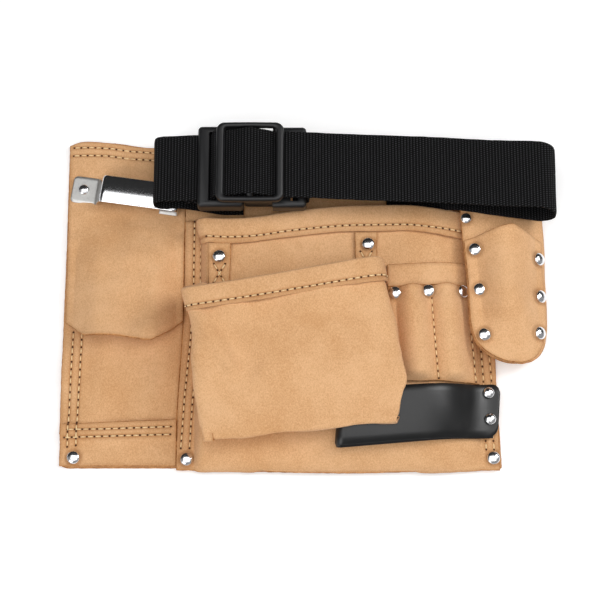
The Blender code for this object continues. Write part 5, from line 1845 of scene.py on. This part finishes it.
    def build_sleeve(self, palette: Palette) -> None:
        """Makes the sleeve, sewn down above and below the belt."""
        width = 2.0 * (self.kit.sleeve_half + self.kit.sleeve_seam)
        sheet = Hide("belt_sleeve_leather", self.sleeve_place, shares(self.kit.sleeve_length, 0.0030),
                     shares(width, 0.0020, [(0.006, 0.003, 0.0006), (width - 0.006, 0.003, 0.0006)]), LEATHER,
                     Ripple(22, ((0.040, 0.00005),)))
        hand_over(sheet.build(palette), Slot.SUEDE, "belt_sleeve")


@dataclass(frozen=True)
class Slide:
    """The moulded frame that the belt passes over."""

    kit: Fastening = Fastening()
    corner: float = 0.0060
    window_corner: float = 0.0026
    per_corner: int = 9
    per_side: int = 10
    bar_sides: int = 12
    bar_half: float = 0.0025
    bar_middle: float = 0.0021
    bar_round: float = 0.0019
    room: float = 0.0022
    bow: float = 0.0006

    def outline(self, low: tuple[float, float], high: tuple[float, float], radius: float) -> Array:
        """A rounded rectangle with the same number of points whatever its size."""
        centres = ((high[0] - radius, high[1] - radius, 0.0), (low[0] + radius, high[1] - radius, 90.0),
                   (low[0] + radius, low[1] + radius, 180.0), (high[0] - radius, low[1] + radius, 270.0))
        points = []
        for index, (x, y, start) in enumerate(centres):
            turns = np.radians(np.linspace(start, start + 90.0, self.per_corner))
            points.append(np.stack([x + radius * np.cos(turns), y + radius * np.sin(turns)], axis=-1))
            after = centres[(index + 1) % 4]
            turn = math.radians(after[2])
            end = np.array((after[0] + radius * math.cos(turn), after[1] + radius * math.sin(turn)))
            points.append(lerp(points[-1][-1], end, np.linspace(0.0, 1.0, self.per_side + 2)[1:-1, None]))
        return np.concatenate(points)

    def build(self, palette: Palette) -> None:
        """Makes the frame and its middle bar."""
        kit = self.kit
        middle_y = kit.y + kit.shift
        low = (kit.slide_left, middle_y - kit.slide_width / 2.0)
        high = (kit.slide_left + kit.slide_length, middle_y + kit.slide_width / 2.0)
        wall = (kit.slide_width - kit.belt_width - self.room) / 2.0
        outer = self.outline(low, high, self.corner)
        inner = self.outline((low[0] + kit.rail, low[1] + wall), (high[0] - kit.rail, high[1] - wall),
                             self.window_corner)
        section = ((0.00, 0.30), (0.02, 0.70), (0.10, 0.93), (0.28, 1.02), (0.55, 1.03), (0.78, 0.97),
                   (0.93, 0.78), (1.00, 0.45), (0.97, 0.12), (0.85, 0.00), (0.15, 0.00), (0.02, 0.10))
        rings = []
        for share, height in section:
            plan = lerp(inner, outer, share)
            bowed = self.bow * np.sin(math.pi * clamp((plan[:, 0] - low[0]) / kit.slide_length))
            bowed = np.where(plan[:, 1] > middle_y, bowed, -bowed) * 0.6
            rings.append(xyz(plan[:, 0], plan[:, 1] + bowed, kit.slide_z + kit.slide_thick * height))
        grid = np.stack(rings, axis=1)
        count, size = grid.shape[:2]
        index = np.arange(count * size).reshape(count, size)
        after, beside = np.roll(index, -1, axis=0), np.roll(index, -1, axis=1)
        both = np.roll(after, -1, axis=1)
        faces = np.stack([index, beside, both, after], axis=-1).reshape(-1, 4)
        points = grid.reshape(-1, 3)
        bar_x = kit.slide_left + kit.slide_length / 2.0
        count = self.bar_sides
        turns = np.linspace(0.0, math.tau, count + 1)[:-1]
        bar_z = kit.slide_z + self.bar_middle + self.bar_round * np.sin(turns)
        rounds = [xyz(bar_x + self.bar_half * np.cos(turns), np.full(count, y), bar_z)
                  for y in (low[1] + wall * 0.6, high[1] - wall * 0.6)]
        near = [len(points) + side for side in range(count)]
        far = [corner + count for corner in near]
        sides = [[near[side], near[(side + 1) % count], far[(side + 1) % count], far[side]]
                 for side in range(count)]
        caps = [near, far[::-1]]
        piece = mesh_of("slide_frame", np.concatenate([points, *rounds]), faces.tolist() + sides + caps,
                        (palette.plastic,))
        builder = bmesh.new()
        builder.from_mesh(piece.data)
        bmesh.ops.recalc_face_normals(builder, faces=builder.faces)
        builder.to_mesh(piece.data)
        builder.free()
        hand_over(piece, Slot.PLASTIC, "belt_slide")


@dataclass(frozen=True)
class Buckle:
    """Two moulded halves, each with the belt round a bar."""

    kit: Fastening = Fastening()
    edge: float = 0.0030
    room: float = 0.0024
    past: float = 0.0100
    overlap: float = 0.0010
    side_step: float = 0.0040
    shoulder: float = 0.0245

    def block(self, name: str, low: Sequence[float], high: Sequence[float], edge: float) -> bpy.types.Object:
        """A box between two corners with rounded edges."""
        builder = bmesh.new()
        bmesh.ops.create_cube(builder, size=1.0)
        bmesh.ops.scale(builder, vec=Vector(high) - Vector(low), verts=builder.verts)
        bmesh.ops.translate(builder, vec=(Vector(low) + Vector(high)) / 2.0, verts=builder.verts)
        if edge:
            bmesh.ops.bevel(builder, geom=builder.edges[:], offset=edge, segments=6, profile=0.5,
                            affect="EDGES")
        return object_of(builder, name)

    def carve(self, piece: bpy.types.Object, boxes: Sequence[tuple[Sequence[float], Sequence[float]]],
              palette: Palette) -> None:
        """Cuts boxes out of a piece, then rounds the new edges a little."""
        cutters = []
        for low, high in boxes:
            cutter = self.block(piece.name + "_cutter", low, high, 0.0)
            boolean = piece.modifiers.new("Cut", "BOOLEAN")
            boolean.operation, boolean.solver, boolean.object = "DIFFERENCE", "EXACT", cutter
            cutters.append(cutter)
        edge = piece.modifiers.new("Edge", "BEVEL")
        edge.width, edge.segments, edge.angle_limit = 0.0006, 2, math.radians(50.0)
        settled(piece)
        for cutter in cutters:
            bpy.data.objects.remove(cutter)
        piece.data.materials.clear()
        piece.data.materials.append(palette.plastic)
        piece.data.polygons.foreach_set("material_index", np.zeros(len(piece.data.polygons), np.int32))
        piece.data.shade_smooth()
        piece.data.set_sharp_from_angle(angle=math.radians(35.0))

    def build(self, palette: Palette) -> None:
        """Makes both halves."""
        kit = self.kit
        low_y, high_y = kit.y + kit.shift - kit.buckle_width / 2.0, kit.y + kit.shift + kit.buckle_width / 2.0
        wall = (kit.buckle_width - kit.belt_width - self.room) / 2.0
        low_in, high_in = low_y + wall, high_y - wall
        top, right = kit.buckle_z + kit.thick, kit.buckle_left + kit.female
        bar_low, bar_high = kit.inner_bar - kit.bar / 2.0, kit.inner_bar + kit.bar / 2.0
        under, over = kit.bar_z - kit.bar_thick / 2.0, kit.bar_z + kit.bar_thick / 2.0
        wrap, past = over + WEBBING + 5.0 * GAP, self.past
        bottom, above = kit.buckle_z - past, top + past
        female = self.block("buckle_socket_half", (kit.buckle_left, low_y, kit.buckle_z),
                            (right, high_y, top), self.edge)
        self.carve(female, (
            ((kit.buckle_left - past, low_in, bottom), (bar_low, high_in, wrap)),
            ((kit.buckle_left + kit.buckle_rail, low_in, bottom), (bar_low, high_in, above)),
            ((bar_high, low_in, bottom), (bar_high + kit.slot, high_in, above)),
            ((bar_low - self.overlap, low_in, over), (bar_high + self.overlap, high_in, above)),
            ((bar_low - self.overlap, low_in, bottom), (bar_high + self.overlap, high_in, under)),
        ), palette)
        start, shoulder = right + GAP, kit.male_right - self.shoulder
        male = self.block("buckle_plug_half", (start, low_y, kit.buckle_z),
                          (kit.male_right, high_y, top - 0.0015), self.edge)
        bar_low = kit.male_bar - kit.bar / 2.0
        self.carve(male, (
            ((start - past, low_y - past, bottom), (shoulder, low_y + self.side_step, above)),
            ((start - past, high_y - self.side_step, bottom), (shoulder, high_y + past, above)),
            ((bar_low - kit.slot, low_in, bottom), (bar_low, high_in, above)),
            ((bar_low - self.overlap, low_in, bottom), (kit.male_right + past, high_in, kit.male_low)),
        ), palette)
        hand_over(female, Slot.PLASTIC, "buckle_female")
        hand_over(male, Slot.PLASTIC, "buckle_male")


# Rivets and stitches
@dataclass(frozen=True)
class Rivet:
    """One rivet: the node it stands for, the sheet it is set in and its place in the plan."""

    node: str
    place: Place
    x: float
    y: float
    stack: float = LEATHER
    cap: float = CAP
    sink: float = 0.0001

    def spot(self) -> tuple[Array, Array]:
        """The cap's seat and its normal."""
        sheet = Hide("spot", self.place, np.zeros(2), np.zeros(2))
        x, y = np.array([self.x]), np.array([self.y])
        u, v = sheet.find(x, y)
        step = 0.01
        side = self.place(u + step, v) - self.place(u - step, v)
        up = self.place(u, v + step) - self.place(u, v - step)
        normal = unit(np.cross(side, up))
        return self.place(u, v) + normal * (self.stack + GAP - self.sink), normal


class Rivets:
    """All the domed caps, made by one tree."""

    under: Table = ((0.00, -0.0011), (0.55, -0.0011), (0.90, -0.0002), (0.985, 0.0001))
    dome: float = 0.0026
    rim: float = 0.0004
    steps: int = 16
    sides: int = 40

    def profile(self, radius: float) -> list[tuple[float, float]]:
        """A cap's cut: its underside, then a quarter ellipse from its rim to its crown."""
        turns = [math.pi / 2.0 * step / self.steps for step in range(self.steps)]
        dome = [(radius * math.cos(turn), lerp(self.rim, self.dome, math.sin(turn))) for turn in turns]
        return [(share * radius, height) for share, height in self.under] + dome + [(0.0, self.dome)]

    def items(self) -> list[Rivet]:
        """Every rivet of the apron."""
        pocket, pencil, loop, bracket = LeftPocket(), PencilPocket(), HammerLoop(), TapeBracket()
        loop_stack = LOOP_LEATHER + 1.5 * GAP
        items = [
            Rivet("rivet_foot_left", pocket.band_place, *FOOT_RIVETS[0]),
            Rivet("rivet_foot_middle", MAIN.place, *FOOT_RIVETS[1]),
            Rivet("rivet_foot_right", MAIN.place, *FOOT_RIVETS[2]),
            Rivet("rivet_tab_left", TABS[0].place, *TABS[0].rivet),
            Rivet("rivet_tab_right", TABS[1].place, *TABS[1].rivet),
            Rivet("rivet_holster_top", HOLSTER.back_place, *HOLSTER_TOP_RIVET, LEATHER, SMALL_CAP),
            Rivet("rivet_loop_high", loop.front_place, 0.1313, -0.0683, loop_stack, SMALL_CAP),
            Rivet("rivet_loop_low", loop.front_place, 0.1320, -0.0873, loop_stack, SMALL_CAP),
        ]
        for name, (x, y) in zip(("left", "middle", "right"), pencil.rivets):
            items.append(Rivet("rivet_pencil_" + name, pencil.place, x, y))
        names = [f"rivet_holster_{side}_{level}"
                 for side in ("left", "right") for level in ("high", "middle", "low")]
        for name, (x, y) in zip(names, HOLSTER_RIVETS):
            items.append(Rivet(name, HOLSTER.front_place, x, y))
        for name, along in (("outer", bracket.foot * 0.45), ("inner", bracket.length - 0.0075)):
            shift = Matrix.Rotation(bracket.tilt, 3, "Z") @ Vector((along, 0.0, 0.0))
            x, y = bracket.left + shift.x, bracket.y + shift.y

            def flat(u: Array, v: Array, x: float = x, y: float = y) -> Array:
                """A flat foot round the rivet."""
                return xyz(x + 0.01 * (u - 0.5), y + 0.01 * (v - 0.5), ON_PANEL + LAYER)

            items.append(Rivet("rivet_bracket_" + name, flat, x, y, SHEET_METAL, SMALL_CAP, 0.0))
        return items

    def build(self, palette: Palette) -> None:
        """Makes the caps in two sizes."""
        tree = Repeater("Caps at points", False)
        items = self.items()
        for cap in sorted({item.cap for item in items}):
            chosen = [item for item in items if item.cap == cap]
            radius = cap / 2.0
            shape = lathe("cap_shape", self.profile(radius), self.sides)
            spots = [item.spot() for item in chosen]
            sides = [unit(np.cross(np.array((0.0, 1.0, 0.0)), normal)) for _, normal in spots]
            name = "rivet_caps_small" if cap == SMALL_CAP else "rivet_caps_large"
            piece = tree.run(name, spots, shape, palette.nickel, sides=sides)
            bpy.data.objects.remove(shape)
            hand_over(piece, Slot.NICKEL, *[item.node for item in chosen])


class Stitching:
    """Thread, and dark discs of painted shade at the needle holes, along every seam."""

    pitch: float = 0.0052
    thread_length: float = 0.0040
    thread_radius: float = 0.00052
    thread_bow: float = 0.00040
    thread_sink: float = 0.00008
    hole_radius: float = 0.00080

    def thread_shape(self) -> bpy.types.Object:
        """One stitch: a short bowed strand whose ends dive into the leather."""
        rings = []
        for share in np.linspace(-1.0, 1.0, 7):
            x = share * self.thread_length / 2.0
            z = self.thread_bow * (1.0 - share ** 2) - self.thread_sink
            radius = self.thread_radius * math.sqrt(max(0.08, 1.0 - abs(share) ** 3))
            turns = np.linspace(0.0, math.tau, 7)[:-1]
            rings.append(xyz(np.full(6, x), radius * np.cos(turns), z + radius * 0.8 * np.sin(turns)))
        return tube_of("thread_shape", np.stack(rings), ())

    def hole_shape(self) -> bpy.types.Object:
        """One needle's hole: a low pit with a soft lip, a dark disc of painted shade."""
        radius = self.hole_radius
        pit = [(0.0, -0.0004), (radius, -0.0003), (radius, 0.00010), (radius * 0.7, 0.00017), (0.0, 0.00010)]
        return lathe("hole_shape", pit, 9)

    def build(self, seams: Sequence[tuple[Array, Array]], palette: Palette) -> None:
        """Sews every seam.

        Args:
            seams: Points and normals along each row.
            palette: The materials.
        """
        tree = Repeater("Stitches along rows", True)
        thread, hole = self.thread_shape(), self.hole_shape()
        shifted, half = [], self.pitch / 2.0
        for points, normals in seams:
            run = run_of(points)
            places = np.linspace(half, max(half * 1.5, run[-1] - half), len(points))
            shifted.append((taken(points, run, places), taken(normals, run, places)))
        threads = tree.run("stitch_threads", shifted, thread, palette.thread, self.pitch, 3)
        # dark discs of painted shade at the needle holes
        holes = tree.run("stitch_holes", seams, hole, palette.hole, self.pitch, 4)
        for shape in (thread, hole):
            bpy.data.objects.remove(shape)
        hand_over(threads, Slot.SUEDE)
        hand_over(holes, Slot.SUEDE)


# Studio
@dataclass(frozen=True)
class Softbox:
    """One soft lamp that points at the apron."""

    name: str
    at: tuple[float, float, float]
    size: tuple[float, float]
    power: float

    def build(self) -> None:
        """Makes the lamp."""
        lamp = bpy.data.lights.new(self.name, "AREA")
        lamp.shape = "RECTANGLE"
        lamp.size, lamp.size_y = self.size
        lamp.energy = self.power
        holder = linked(self.name, lamp)
        holder.location = self.at
        holder.rotation_euler = (-Vector(self.at)).to_track_quat("-Z", "Y").to_euler()


@dataclass(frozen=True)
class Studio:
    """The floor, the soft light and the camera over the apron.

    The air is bright towards the viewer and fades to dark between near and far, shares of +Y in a direction.
    """

    elevation: float = math.radians(75.0)
    distance: float = 1.150
    lens: float = 92.35
    sensor: float = 36.0
    floor_size: float = 3.0
    ambient: float = 0.30
    dark: float = 0.03
    near: float = 0.05
    far: float = 0.30
    lamps: tuple[Softbox, ...] = (
        Softbox("overhead", (0.0, -0.12, 1.5), (1.8, 1.22), 14.0),
        Softbox("right", (0.95, 0.35, 0.95), (0.5, 0.5), 7.0),
        Softbox("front_left", (-0.80, -0.95, 0.85), (0.8, 0.8), 5.5),
    )

    def build(self, palette: Palette) -> None:
        """Makes the floor, the lamps and the camera."""
        scene = bpy.context.scene
        scene.view_settings.view_transform = "Standard"
        world = bpy.data.worlds.new("studio_air")
        world.use_nodes = True
        air = world.node_tree
        way = add_node(air, "ShaderNodeTexCoord", {}, {}).outputs["Generated"]
        ahead = add_node(air, "ShaderNodeSeparateXYZ", {}, {0: way}).outputs["Y"]
        shade = add_node(air, "ShaderNodeMapRange", {}, {
            "Value": ahead, "From Min": self.near, "From Max": self.far, "To Min": self.ambient,
            "To Max": self.dark,
        }).outputs[0]
        feed(air, air.nodes["Background"], {"Strength": shade, "Color": (1.0, 1.0, 1.0, 1.0)})
        scene.world = world
        half, level = self.floor_size / 2.0, -0.0004
        corners = np.array([(x * half, y * half, level) for x, y in ((-1, -1), (1, -1), (1, 1), (-1, 1))])
        floor = mesh_of("floor", corners, [[0, 1, 2, 3]], (palette.floor,))
        floor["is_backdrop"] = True
        for lamp in self.lamps:
            lamp.build()
        camera = linked("camera", bpy.data.cameras.new("camera"))
        camera.data.lens, camera.data.sensor_width = self.lens, self.sensor
        camera.data.clip_start = 0.01
        back, up = math.cos(self.elevation), math.sin(self.elevation)
        camera.location = (0.0, -self.distance * back, self.distance * up)
        camera.rotation_euler = (math.pi / 2.0 - self.elevation, 0.0, 0.0)
        scene.camera = camera


def main() -> None:
    """Builds every sub-assembly in order."""
    logging.basicConfig(level=logging.INFO, format="%(message)s")
    palette = Palette()
    Studio().build(palette)
    sheets: list[Hide | Hem] = []
    for part in (PANEL, LeftPocket(), MAIN, *TABS, FrontPocket(), PencilPocket(), HOLSTER):
        sheets += part.build(palette)
    for hardware in (HammerLoop(), TapeBracket(), Belt(), Slide(), Buckle(), Rivets()):
        hardware.build(palette)
    Stitching().build([seam for sheet in sheets for seam in sheet.seams()], palette)
    boxes = {"cad": CAD_BOX, "visual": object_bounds()}
    {key: [list(map(float, corner)) for corner in box] for key, box in boxes.items()}


if __name__ == "__main__":
    main()
